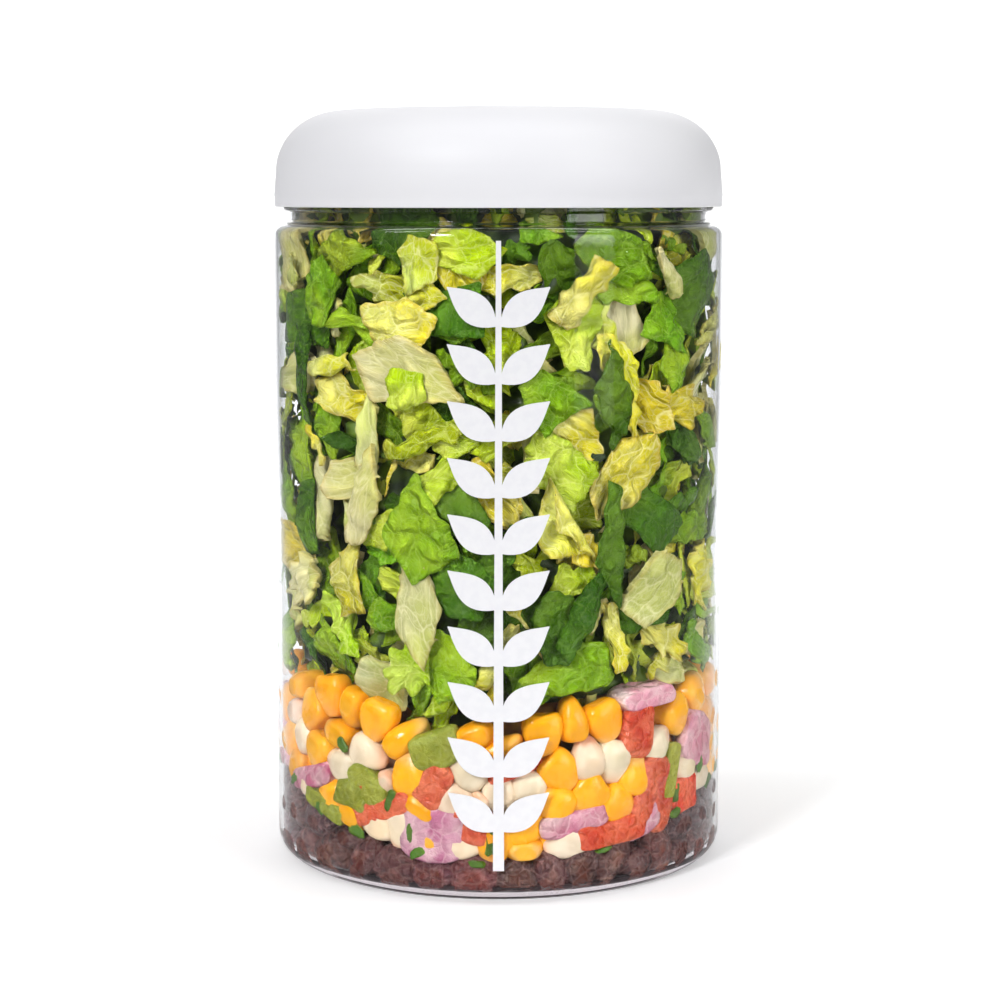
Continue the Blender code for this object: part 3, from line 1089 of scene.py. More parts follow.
@dataclass
class LeafCutter:
    """Cuts, bends and drapes leaf pieces. Each piece is a square grid of points drawn to its outline."""

    vessel: Vessel
    stack: WallStack
    random: Rng
    fine: int = 21
    medium: int = 15
    coarse: int = 11
    press: float = 0.05 * MM
    squeeze: float = 5.0 * MM
    underside: float = 0.4

    def outline(self, count: int, frilled: bool) -> tuple[Array, Array, Array]:
        """A ragged many-cornered outline, filled by a grid.

        Args:
            count: Points along each side of the grid.
            frilled: Whether part of the rim is the leaf's own wavy margin.

        Returns:
            The grid's points on the unit outline, and how near each is to the rim, from 0 to 1.
        """
        line = np.linspace(-1, 1, count)
        u, v = np.meshgrid(line, line, indexing="ij")
        rim = np.maximum(np.abs(u), np.abs(v))
        safe = np.where(rim == 0, 1, rim)
        a, b = u / safe, v / safe
        quarter = math.pi / 4
        turn = np.where(np.abs(a) >= np.abs(b), np.where(a > 0, b * quarter, math.pi - b * quarter), 0.0)
        upright = np.abs(b) > np.abs(a)
        turn = np.where(upright, np.where(b > 0, 2 * quarter - a * quarter, a * quarter - 2 * quarter), turn)
        corners = self.random.integers(4, 7)
        angles = (np.arange(corners) + self.random.uniform(-0.28, 0.28, corners)) * 2 * math.pi / corners
        angles += self.random.uniform(0, 2 * math.pi)
        reach = self.random.uniform(0.85, 1.18, corners)
        tips = np.stack([reach * np.cos(angles), reach * np.sin(angles)], axis=1)
        radius = np.full(turn.shape, 9.0)
        along = np.stack([np.cos(turn), np.sin(turn)], axis=-1)
        for first, second in zip(tips, np.roll(tips, -1, axis=0)):
            edge = second - first
            normal = np.array([edge[1], -edge[0]])
            facing = along @ normal
            away = first @ normal
            if away < 0:
                facing, away = -facing, -away
            radius = np.minimum(radius, np.where(facing > 1e-6, away / np.maximum(facing, 1e-6), 9.0))
        radius = np.minimum(radius, 1.25)
        ragged = 0.025 * waves(np.stack([np.cos(turn), np.sin(turn)], -1), (0.25, 0.8), 5, self.random)
        if frilled:
            lobes = np.abs(np.sin(self.random.integers(5, 8) * turn))
            ragged = ragged + 0.045 * lobes * smoothstep(-0.3, 0.1, np.sin(turn))
        radius = radius * (1 + ragged * rim**2)
        return rim * radius * np.cos(turn), rim * radius * np.sin(turn), rim

    def bent(self, leaf: Leaf, stock: LeafStock, count: int) -> dict[str, Array]:
        """Cuts and bends a piece, before it is placed.

        Args:
            leaf: The piece.
            stock: What its kind shares.
            count: Points along each side of its grid.

        Returns:
            Its flat x and y, its bent x, y and depth, and its nearness to the rim, all in metres.
        """
        random = self.random
        u, v, rim = self.outline(count, leaf.form is LeafForm.FRILLED)
        flat_x = u * leaf.length * MM / 2
        flat_y = v * leaf.width * MM / 2
        x, y, depth = flat_x.copy(), flat_y.copy(), np.zeros_like(flat_x)
        if leaf.form is LeafForm.FOLDED:
            x, y, depth = self.crease(x, y, depth, leaf)
        place = np.stack([flat_x, flat_y], axis=-1) + random.uniform(0, 1, 2)
        depth = depth + 1.25 * stock.crumple * waves(place, (4 * MM, 10 * MM), 3, random, crisp=True)
        depth = depth + 0.4 * stock.crumple * waves(place, (2.5 * MM, 5 * MM), 5, random)
        if leaf.form is LeafForm.FRILLED:
            angle = np.arctan2(v, u)
            frill = np.sin(random.integers(5, 9) * angle + random.uniform(0, 6)) * rim**3
            depth = depth + frill * random.uniform(1.0, 2.0) * MM
        curve = {form: random.uniform(*bend) for form, (_, bend) in FORMS.items()}[leaf.form]
        lying = math.radians(90 + random.uniform(-25, 25))
        inwards = 1 if random.random() < 0.8 or leaf.form is LeafForm.ROLLED else -1
        x, y, depth = self.roll(x, y, depth, lying, inwards * curve / (leaf.width * MM / 2))
        if leaf.form in (LeafForm.CUPPED, LeafForm.CURLED):
            bow = inwards * random.uniform(0.2, 0.6) / (leaf.length * MM / 2)
            x, y, depth = self.roll(x, y, depth, lying + math.pi / 2, bow)
        return {"flat_x": flat_x, "flat_y": flat_y, "x": x, "y": y, "depth": depth, "rim": rim}

    def crease(self, x: Array, y: Array, depth: Array, leaf: Leaf) -> tuple[Array, Array, Array]:
        """Folds a flap of the piece back over a tight crease."""
        random = self.random
        across = math.radians(random.uniform(60, 120))
        shift = random.uniform(-0.1, 0.25) * leaf.width * MM / 2
        over, side = turned(x, y, -across)
        over = over - shift
        fold = random.choice((-1, 1)) * math.radians(random.uniform(110, 165))
        run = 1.4 * MM * abs(fold)
        rate = fold / run
        bend = np.clip(over, 0, run)
        beyond = np.maximum(over - run, 0)
        flat = np.minimum(over, 0) + np.sin(rate * bend) / rate + beyond * math.cos(fold) + shift
        rise = (1 - np.cos(rate * bend)) / rate + beyond * math.sin(fold)
        return *turned(flat, side, across), depth + rise

    @staticmethod
    def roll(x: Array, y: Array, depth: Array, across: float, rate: float) -> tuple[Array, Array, Array]:
        """Rolls a sheet about an axis in its plane.

        Args:
            x: The sheet's points along it.
            y: The sheet's points across it.
            depth: Their depths.
            across: Direction of the roll in the sheet, in radians.
            rate: Curvature. The edges go inwards where it is positive.

        Returns:
            The rolled x, y and depth.
        """
        if abs(rate) < 1e-6:
            return x, y, depth
        over, side = turned(x, y, -across)
        reach = 1 / rate - depth
        flat = reach * np.sin(rate * over)
        rolled = 1 / rate - reach * np.cos(rate * over)
        return *turned(flat, side, across), rolled

    def drape(self, leaf: Leaf, press: float, tilt: float, count: int, parts: dict[str, MeshParts]) -> None:
        """Cuts one piece, puts it behind what lies there, and adds it to its kind's mesh.

        Args:
            leaf: The piece.
            press: How far its outermost points are pressed on the wall.
            tilt: How much it leans out of the wall's direction, in radians.
            count: Points along each side of its grid.
            parts: The mesh parts of each piece name.
        """
        stock = STOCKS[leaf.kind]
        shape = self.bent(leaf, stock, count)
        x, y, depth = shape["x"], shape["y"], shape["depth"]
        lean = self.random.uniform(0, 2 * math.pi)
        over, side = turned(x, y, -lean)
        over, depth = turned(over, depth, tilt)
        across, up = turned(*turned(over, side, lean), math.radians(leaf.turn))
        around = math.radians(leaf.around) * self.vessel.inside + across
        height = np.minimum(leaf.height * MM + up, self.vessel.rim_z - 1.5 * MM)
        depth = depth - np.percentile(depth, 8) - press
        depth = np.where(depth > 0, self.squeeze * (1 - np.exp(-depth / self.squeeze)), depth)
        soft = 0.5 * MM
        depth = (depth + np.sqrt(depth**2 + soft**2)) / 2 - self.press
        depth = self.stack.settle(around, height, depth)
        self.stack.fill(around, height, depth, stock.thickness)
        front = self.vessel.spot(around, height, depth)
        tints = self.tints(shape, stock, leaf)
        place = np.stack([shape["flat_x"], shape["flat_y"]], axis=-1) / (10 * MM) + self.random.uniform(
            0, 50, 2
        )
        points, faces = thick_sheet(front, stock.thickness)
        behind = mixed(tints, stock.midrib, np.array(self.underside))
        both = np.concatenate([tints.reshape(-1, 3), behind.reshape(-1, 3)])
        rim = 4 * (len(front) - 1)
        parts[stock.piece].add(points, faces, both, np.concatenate([place.reshape(-1, 2)] * 2), rim)

    def tints(self, shape: dict[str, Array], stock: LeafStock, leaf: Leaf) -> Array:
        """The colour of each of a piece's points: from midrib to margin, patchy, and dry at the cut."""
        random = self.random
        reach = leaf.length * MM / 2
        along = (shape["flat_x"] + random.uniform(-0.9, 0.5) * reach) / (2 * reach) + 0.5
        place = np.stack([shape["flat_x"], shape["flat_y"]], axis=-1)
        patches = 0.16 * waves(place, (6 * MM, 16 * MM), 4, random)
        share = smoothstep(0.0, 0.55, along + patches)
        tints = mixed(stock.midrib, stock.blade, share)
        tints = mixed(tints, stock.margin, smoothstep(0.8, 1.0, shape["rim"]) * 0.6)
        brightness = 1 + stock.spread * random.normal(size=1) * 1.6
        hue = 1 + stock.spread * random.normal(size=3) * (0.8, 0.5, 1.2)
        return np.clip(tints * brightness * hue * (1 + 0.08 * patches[..., None]), 0.004, 0.9)


def thick_sheet(front: Array, thickness: float) -> tuple[Array, Array]:
    """A closed thin shell from a grid of points.

    Args:
        front: The outer face's points, as rows and columns.
        thickness: How far the back lies behind the front.

    Returns:
        The shell's points, and its faces of four corners.
    """
    along = np.gradient(front, axis=0)
    across = np.gradient(front, axis=1)
    normal = np.cross(along, across)
    normal /= np.maximum(np.linalg.norm(normal, axis=-1, keepdims=True), 1e-12)
    back = front - normal * thickness
    rows, columns = front.shape[:2]
    index = np.arange(rows * columns).reshape(rows, columns)
    quads = np.stack([index[:-1, :-1], index[1:, :-1], index[1:, 1:], index[:-1, 1:]], axis=-1).reshape(-1, 4)
    behind = quads[:, ::-1] + rows * columns
    ring = np.concatenate([index[:, 0], index[-1, 1:], index[-2::-1, -1], index[0, -2::-1]])
    following = ring[1:]
    ring = ring[:-1]
    rim = np.stack([following, ring, ring + rows * columns, following + rows * columns], axis=-1)
    points = np.concatenate([front.reshape(-1, 3), back.reshape(-1, 3)])
    return points, np.concatenate([quads, behind, rim])


@dataclass
class Greens:
    """The chopped romaine and spinach: a stack of draped leaf pieces behind the wall, over a core painted dark as
    shade.
    """

    vessel: Vessel
    layers: "Layers"
    stack: WallStack
    low: float
    high: float
    loose: int = 800
    pressed: float = 0.45
    seed: int = 11

    def floor(self, around: float) -> float:
        """Height of the corn's top at a place round the wall."""
        angle = around / self.vessel.inside
        x, y = self.vessel.inside * math.sin(angle), -self.vessel.inside * math.cos(angle)
        return float(self.layers.corn_top(np.array(x), np.array(y)))

    def random_leaf(self, random: Rng) -> Leaf:
        """A loose piece of a random kind and form, at an open spot."""
        kinds = list(STOCKS)
        shares = np.array([STOCKS[kind].share for kind in kinds])
        kind = kinds[random.choice(len(kinds), p=shares / shares.sum())]
        form = list(FORMS)[random.choice(len(FORMS), p=[chance for chance, _ in FORMS.values()])]
        around, height = self.stack.open_spot(self.low, self.high, random)
        while height < self.floor(around) + 1.5 * MM:
            around, height = self.stack.open_spot(self.low, self.high, random)
        length = random.uniform(9, 21)
        width = length * random.uniform(0.25, 0.85)
        degrees = math.degrees(around / self.vessel.inside)
        return Leaf(degrees, height / MM, length, width, random.uniform(0, 360), kind, form)

    def build(self, finishes: dict[str, Material]) -> None:
        """Makes the leaf pieces, one mesh for each kind."""
        random = np.random.default_rng(self.seed)
        cutter = LeafCutter(self.vessel, self.stack, random)
        parts = {stock.piece: MeshParts() for stock in STOCKS.values()}
        for leaf in _arranged_leaves():
            cutter.drape(leaf, random.uniform(0.3, 1.1) * MM, random.normal(0, 0.1), cutter.fine, parts)
        for number in range(self.loose):
            leaf = self.random_leaf(random)
            against_wall = number < self.pressed * self.loose
            press = random.uniform(0.3, 1.6) * MM if against_wall else random.uniform(-0.8, 1.0) * MM
            tilt = float(np.clip(random.normal(0, 0.2 if against_wall else 0.45), -1.0, 1.0))
            in_front = abs((leaf.around + 180) % 360 - 180) < 95
            cutter.drape(leaf, press, tilt, cutter.medium if in_front else cutter.coarse, parts)
        for name, part in parts.items():
            piece = placed(name, part.mesh(name), finishes[name])
            hand_over(piece, "green_leaves", "greens")


# ---------- Kernels, beans and diced pieces ----------


@dataclass(frozen=True)
class Morsel:
    """One kind of small food piece. Half sizes are in millimetres: length, width, thickness."""

    name: str
    slot: str
    half: tuple[float, float, float]
    body: Array
    tip: Array
    edge: Array
    pressed: Array
    rim: Optional[Array] = None
    boxy: float = 0.8
    taper: float = 0.0
    dent: float = 0.0
    bend: float = 0.0
    lumps: float = 0.03
    tip_share: float = 0.5
    edge_share: float = 0.0
    variety: float = 0.06
    rings: int = 14
    sides: int = 18


_MORSELS = (
    Morsel(
        "corn_kernels", "corn_kernels", (4.7, 4.3, 3.0), paint(246, 162, 4), paint(236, 184, 104),
        paint(250, 178, 22), paint(246, 168, 10), boxy=0.68, taper=0.36, dent=0.16, lumps=0.035,
        tip_share=0.85, variety=0.07,
    ),
    Morsel(
        "white_kernels", "corn_kernels", (4.7, 3.8, 2.9), paint(228, 206, 174), paint(222, 150, 112),
        paint(232, 212, 184), paint(224, 202, 168), boxy=0.76, taper=0.36, dent=0.08, tip_share=0.7,
    ),
    Morsel(
        "tomato_pieces", "corn_kernels", (5.2, 3.9, 2.4), paint(204, 54, 26), paint(190, 28, 14),
        paint(228, 124, 84),
        paint(204, 58, 32), boxy=0.42, lumps=0.06, tip_share=0.6, edge_share=0.5, variety=0.12,
    ),
    Morsel(
        "red_onion_pieces", "corn_kernels", (5.6, 4.8, 1.9), paint(206, 140, 158), paint(224, 200, 196),
        paint(160, 22, 96), paint(208, 146, 162), boxy=0.42, bend=0.25, lumps=0.05, tip_share=0.8,
        edge_share=0.7,
        variety=0.1,
    ),
    Morsel(
        "green_pepper_pieces", "corn_kernels", (5.2, 3.8, 2.0), paint(138, 146, 40), paint(186, 184, 96),
        paint(84, 108, 18), paint(146, 150, 50), boxy=0.42, bend=0.15, lumps=0.07, tip_share=0.6,
        edge_share=0.6,
        variety=0.1,
    ),
    Morsel(
        "herb_pieces", "green_leaves", (1.7, 1.0, 0.35), paint(70, 110, 18), paint(120, 150, 50),
        paint(40, 76, 12),
        paint(60, 98, 20), boxy=0.6, bend=0.3, lumps=0.25, tip_share=0.5, edge_share=0.3, variety=0.15,
        rings=8, sides=10,
    ),
    Morsel(
        "black_beans", "bean_skin", (5.5, 3.8, 3.3), paint(84, 48, 50), paint(110, 70, 66), paint(66, 34, 38),
        paint(106, 50, 40), boxy=0.92, bend=0.18, lumps=0.05, tip_share=0.4, variety=0.2,
        rim=paint(170, 120, 110),
        rings=16, sides=22,
    ),
)
MORSELS = {morsel.name: morsel for morsel in _MORSELS}


def morsel_mesh(morsel: Morsel, name: str, random: Rng) -> Mesh:
    """One shape of a kind: a rounded block along X that tapers, dents and bends as its kind does.

    Args:
        morsel: The kind.
        name: The mesh's name.
        random: Source of the shape's own lumps.

    Returns:
        A closed mesh with each point's unit coordinates in the attribute Local.
    """
    turns = np.linspace(0, math.pi, morsel.rings + 1)[1:-1]
    angles = np.linspace(0, 2 * math.pi, morsel.sides, endpoint=False)

    def power(value: Array) -> Array:
        """The value with its size raised to the kind's boxiness."""
        return np.sign(value) * np.abs(value) ** morsel.boxy

    along = -power(np.cos(turns))[:, None] * np.ones_like(angles)
    ring = power(np.sin(turns))[:, None]
    unit = np.stack([along, ring * power(np.cos(angles)), ring * power(np.sin(angles))], axis=-1).reshape(
        -1, 3
    )
    unit = np.concatenate([unit, [(-1, 0, 0), (1, 0, 0)]])
    local = unit.copy()
    unit[:, 1:] *= (1 - morsel.taper * (1 - smoothstep(-1.0, 0.3, local[:, 0])))[:, None]
    centre = np.exp(-(local[:, 1] ** 2 + local[:, 2] ** 2) / 0.35)
    unit[:, 0] -= morsel.dent * centre * (local[:, 0] > 0.2) * local[:, 0]
    unit[:, 1] += morsel.bend * (local[:, 0] ** 2 - 0.4)
    unit += unit * (morsel.lumps * waves(local, (0.9, 2.2), 6, random))[:, None]
    points = unit * np.array(morsel.half) * MM
    mesh = ringed_mesh(name, points[:-2].reshape(morsel.rings - 1, morsel.sides, 3), points[-2:])
    store(mesh, "Local", "FLOAT_VECTOR", local)
    return mesh


@dataclass
class Pile:
    """Loose pieces that are shaken down behind the wall until none of them overlap.

    Each piece is held as nine balls: its middle, its four sides and its four corners.
    """

    vessel: Vessel
    core_radius: float
    core_low: float
    random: Rng
    names: list[str] = field(default_factory=list)
    centres: list[Array] = field(default_factory=list)
    halves: list[Array] = field(default_factory=list)
    held: list[bool] = field(default_factory=list)
    turns: list[Array] = field(default_factory=list)
    bands: list[tuple] = field(default_factory=list)
    sink: float = 0.25 * MM

    def add(self, name: str, centre: Array, half: Array, turn: Array, band: tuple, held: bool = False) -> None:
        """Adds one piece.

        Args:
            name: Its kind.
            centre: Where it starts.
            half: Its half sizes.
            turn: Its rotation, as a 3 by 3 array.
            band: Functions of x and y that give the height of its layer's floor and top.
            held: Whether it stays near where it starts.
        """
        self.names.append(name)
        self.centres.append(centre)
        self.halves.append(half)
        self.turns.append(turn)
        self.bands.append(band)
        self.held.append(held)

    def shake(self, rounds: int) -> None:
        """Lets the pieces fall, push each other apart and press on the wall, for some rounds."""
        centre = np.array(self.centres)
        half = np.array(self.halves)
        turn = np.array(self.turns)
        held = np.array(self.held)
        start = centre.copy()
        ball = half[:, 2]
        corners = [(a, b) for a in (0.8, -0.8) for b in (0.8, -0.8)]
        sides = np.array([(0, 0), (1, 0), (-1, 0), (0, 1), (0, -1), *corners])
        stretch = np.zeros((len(centre), len(sides), 3))
        stretch[:, :, :2] = sides * (half[:, None, :2] - ball[:, None, None])
        owner = np.repeat(np.arange(len(centre)), len(sides))
        size = np.repeat(ball, len(sides))
        kinds = {band: np.array([b is band for b in self.bands]) for band in set(self.bands)}
        first = second = None
        for step in range(rounds):
            centre[:, 2] -= 0.12 * MM
            outward = centre[:, :2] / np.maximum(np.linalg.norm(centre[:, :2], axis=1, keepdims=True), 1e-9)
            centre[:, :2] += outward * 0.08 * MM
            centre[held] += 0.04 * (start[held] - centre[held])
            points = (centre[:, None] + np.einsum("nij,nkj->nki", turn, stretch)).reshape(-1, 3)
            if step % 5 == 0:
                first, second = self.near(points, size, owner)
            apart = points[first] - points[second]
            distance = np.maximum(np.linalg.norm(apart, axis=1), 1e-9)
            overlap = np.maximum(size[first] + size[second] - distance, 0)
            shift = apart * (0.45 * overlap / distance)[:, None]
            push = np.stack(
                [
                    np.bincount(first, shift[:, axis], len(points)) - np.bincount(
                        second, shift[:, axis], len(points)
                    )
                    for axis in range(3)
                ],
                axis=1,
            )
            count = np.bincount(first, overlap > 0, len(points)) + np.bincount(
                second, overlap > 0, len(points)
            )
            points += push / np.maximum(count, 1)[:, None] * 1.6
            points = self.contained(points, size, owner, kinds)
            cloud = points.reshape(-1, len(sides), 3)
            centre = cloud.mean(axis=1)
            spread = np.einsum("nki,nkj->nij", cloud - centre[:, None], stretch)
            left, _, right = np.linalg.svd(spread + 1e-12 * np.eye(3))
            flip = np.sign(np.linalg.det(left @ right))
            left[:, :, 2] *= flip[:, None]
            turn = left @ right
        self.centres = list(centre)
        self.turns = list(turn)

    @staticmethod
    def near(points: Array, size: Array, owner: Array) -> tuple[Array, Array]:
        """Pairs of balls of different pieces that are close to each other."""
        points, size = points.astype(np.float32), size.astype(np.float32)
        squares = (points**2).sum(axis=1)
        distance = squares[:, None] + squares[None] - 2 * points @ points.T
        reach = size[:, None] + size[None] + 1.2 * MM
        close = (distance < reach**2) & (owner[:, None] < owner[None])
        return np.nonzero(close)

    def contained(self, points: Array, size: Array, owner: Array, kinds: dict) -> Array:
        """Keeps balls inside the wall, outside the core, and between their layer's floor and top."""
        for band, members in kinds.items():
            mine = members[owner]
            floor, top = band
            x, y = points[mine, 0], points[mine, 1]
            points[mine, 2] = np.minimum(points[mine, 2], top(x, y) - size[mine])
            points[mine, 2] = np.maximum(points[mine, 2], floor(x, y) + size[mine])
        reach = np.maximum(np.linalg.norm(points[:, :2], axis=1), 1e-9)
        most = self.vessel.inner_radius(points[:, 2]) + self.sink - size
        least = np.where(points[:, 2] > self.core_low, self.core_radius + size * 0.5, 0)
        wanted = np.clip(reach, np.minimum(least, most), most)
        points[:, :2] *= (wanted / reach)[:, None]
        return points


class ScatterTree:
    """A Geometry Nodes tree that puts a kind's shapes on points, turned and sized by the points' values."""

    def __init__(self) -> None:
        """Builds the tree."""
        inputs = {"Points": "Geometry", "Shapes": "Collection", "Size": 1.0, "Seed": 3, "Finish": "Material"}
        graph = Graph.group("scattered_pieces", "GeometryNodeTree", inputs, {"Pieces": "Geometry"})
        given = graph.given
        shapes = graph.add(
            "GeometryNodeCollectionInfo",
            {"Collection": given["Shapes"], "Separate Children": True, "Reset Children": True},
        )
        turn = graph.add("GeometryNodeInputNamedAttribute", {"Name": "Turn"}, data_type="FLOAT_VECTOR")
        scale = graph.add("GeometryNodeInputNamedAttribute", {"Name": "Scale"}, data_type="FLOAT_VECTOR")
        pick = graph.add("FunctionNodeRandomValue", data_type="INT")
        graph.feed(next(s for s in pick.inputs if s.name == "Max" and s.type == "INT"), 7)
        graph.feed(pick.inputs["Seed"], given["Seed"])
        chosen = next(s for s in pick.outputs if s.type == "INT")
        sized = graph.add(
            "ShaderNodeVectorMath", {0: scale.outputs[0], "Scale": given["Size"]}, operation="SCALE"
        )
        copies = graph.add(
            "GeometryNodeInstanceOnPoints",
            {
                "Points": given["Points"],
                "Instance": shapes.outputs[0],
                "Pick Instance": True,
                "Instance Index": chosen,
                "Rotation": turn.outputs[0],
                "Scale": sized.outputs[0],
            },
        )
        graph.dress(copies.outputs[0])
        self.tree = graph.tree


def turn_angles(turn: Array) -> Array:
    """The XYZ Euler angles of rotation arrays."""
    y = np.arcsin(np.clip(-turn[:, 2, 0], -1, 1))
    x = np.arctan2(turn[:, 2, 1], turn[:, 2, 2])
    z = np.arctan2(turn[:, 1, 0], turn[:, 0, 0])
    return np.stack([x, y, z], axis=1)


def random_turn(random: Rng, facing: Optional[float] = None, spin: Optional[float] = None) -> Array:
    """A random rotation, or one that lays a piece flat on the wall.

    Args:
        random: Source of the rotation.
        facing: Angle round the jar, in radians, of the wall that the piece lies on, or None.
        spin: How far the piece is turned on that wall, in radians, or None for any way.

    Returns:
        The rotation as a 3 by 3 array, whose columns are the piece's length, width and thickness.
    """
    if facing is None:
        made, _ = np.linalg.qr(random.normal(size=(3, 3)))
        return made * np.sign(np.linalg.det(made))
    out = np.array([math.sin(facing), -math.cos(facing), 0]) + 0.18 * random.normal(size=3)
    out /= np.linalg.norm(out)
    side = np.cross([0, 0, 1.0], out)
    side /= np.linalg.norm(side)
    up = np.cross(out, side)
    angle = random.uniform(0, 2 * math.pi) if spin is None else spin
    length = side * math.cos(angle) + up * math.sin(angle)
    return np.stack([length, np.cross(out, length), out], axis=1)


@dataclass(frozen=True)
class Layers:
    """The surfaces where one layer of the salad ends and the next begins, as the CAD heaps have them."""

    radius: float
    floor_z: float
    leaves_top: float
    beans_height: float = 15 * MM
    corn_height: float = 40 * MM

    @staticmethod
    def ripple(x: Array, y: Array, phase: float) -> Array:
        """A gentle uneven surface, between about -1 and 1."""
        terms = ((71, 38, 0.42), (-55, 92, 0.3), (118, -67, 0.28))
        return sum(share * np.sin(a * x + b * y + phase * (i + 1)) for i, (a, b, share) in enumerate(terms))

    def below_beans(self, x: Array, y: Array) -> Array:
        """Height of the jar's inner floor."""
        return np.full_like(x, self.floor_z)

    def beans_top(self, x: Array, y: Array) -> Array:
        """Height where the beans end and the corn begins."""
        across = x / self.radius
        lean = 4.5 * MM * y / self.radius - 0.6 * MM * across + 9.5 * MM * across**2 - 1.8 * MM
        return self.beans_height + lean + 1.2 * MM * self.ripple(x, y, 2.0)

    def corn_top(self, x: Array, y: Array) -> Array:
        """Height where the corn ends and the leaves begin."""
        dip = np.exp(-(np.hypot(x + 0.28 * self.radius, y + 0.9 * self.radius) ** 2) / (12 * MM) ** 2)
        return self.corn_height - 8 * MM * dip + 2.2 * MM * self.ripple(x, y, 5.0)

    def above_leaves(self, x: Array, y: Array) -> Array:
        """Height of the top of the leaves."""
        return self.leaves_top - 6 * MM * (np.hypot(x, y) / self.radius) ** 2

    def beans_space(self, x: Array, y: Array) -> Array:
        """The beans' own ceiling, a little above their mean top."""
        return self.beans_top(x, y) + 1.5 * MM

    def corn_space(self, x: Array, y: Array) -> Array:
        """The corn's own floor, a little below the beans' mean top."""
        return self.beans_top(x, y) - 1.5 * MM

    def corn_ceiling(self, x: Array, y: Array) -> Array:
        """The corn's own ceiling, a little above its mean top."""
        return self.corn_top(x, y) + 1.5 * MM


@dataclass(frozen=True)
class Landmark:
    """A piece that lies against the wall at the front: degrees round, millimetres high, and its scale."""

    around: float
    height: float
    name: str
    scale: tuple[float, float, float] = (1, 1, 1)
    spin: Optional[float] = None


def _landmarks() -> list[Landmark]:
    """The pieces that stand out against the wall at the front."""
    corn, white, tomato = "corn_kernels", "white_kernels", "tomato_pieces"
    onion, pepper = "red_onion_pieces", "green_pepper_pieces"
    big = (1.15, 1.15, 1.05)
    rows = [(angle, height, corn, (1, 1, 1), None) for angle, height in (
        (-51, 41), (-41, 38), (-34, 36), (-57, 37), (-46, 33), (-56, 28), (-23, 26), (-40, 15), (14, 35),
        (20, 38), (27, 36), (17, 27), (12, 22), (25, 21), (39, 24), (66, 38), (53, 34), (-6, 38), (-66, 41),
        (-3, 15), (6, 17), (33, 20), (72, 32), (-69, 22),
    )]
    rows += [(angle, height, white, (1, 1, 1), None) for angle, height in (
        (-46, 27), (-37, 28), (-13, 21), (-25, 16), (-32, 11), (24, 29), (33, 29), (46, 29), (17, 14),
        (-64, 31), (2, 24), (57, 26), (-8, 30),
    )]
    rows += [
        (-24, 34, corn, big, 0.3),
        (-16, 24, tomato, (0.9, 0.9, 1), 0.9),
        (36, 34, tomato, (1, 1, 1), 0.2),
        (44, 20, tomato, (1.45, 1.5, 1.2), 1.1),
        (29, 15, tomato, (1.5, 0.7, 1), 0.2),
        (-31, 17, tomato, (1.3, 0.6, 1), 0.6),
        (-15, 12, onion, (1.2, 1.2, 1.3), 0.4),
        (42, 43, onion, (1.25, 0.9, 1.1), 0.1),
        (66, 28, onion, (1.2, 0.8, 1), 1.2),
        (-58, 20, onion, (1.4, 0.5, 1), 0.4),
        (18, 18, onion, (1.3, 0.5, 1), -0.3),
        (-15, 34, pepper, (1, 1, 1), 1.0),
        (-34, 25, pepper, (1, 0.8, 1), 0.2),
        (-38, 21, pepper, (0.9, 0.8, 1), 1.3),
        (-47, 11, pepper, (1.2, 0.5, 0.8), 0.1),
    ]
    return [Landmark(*row) for row in rows]


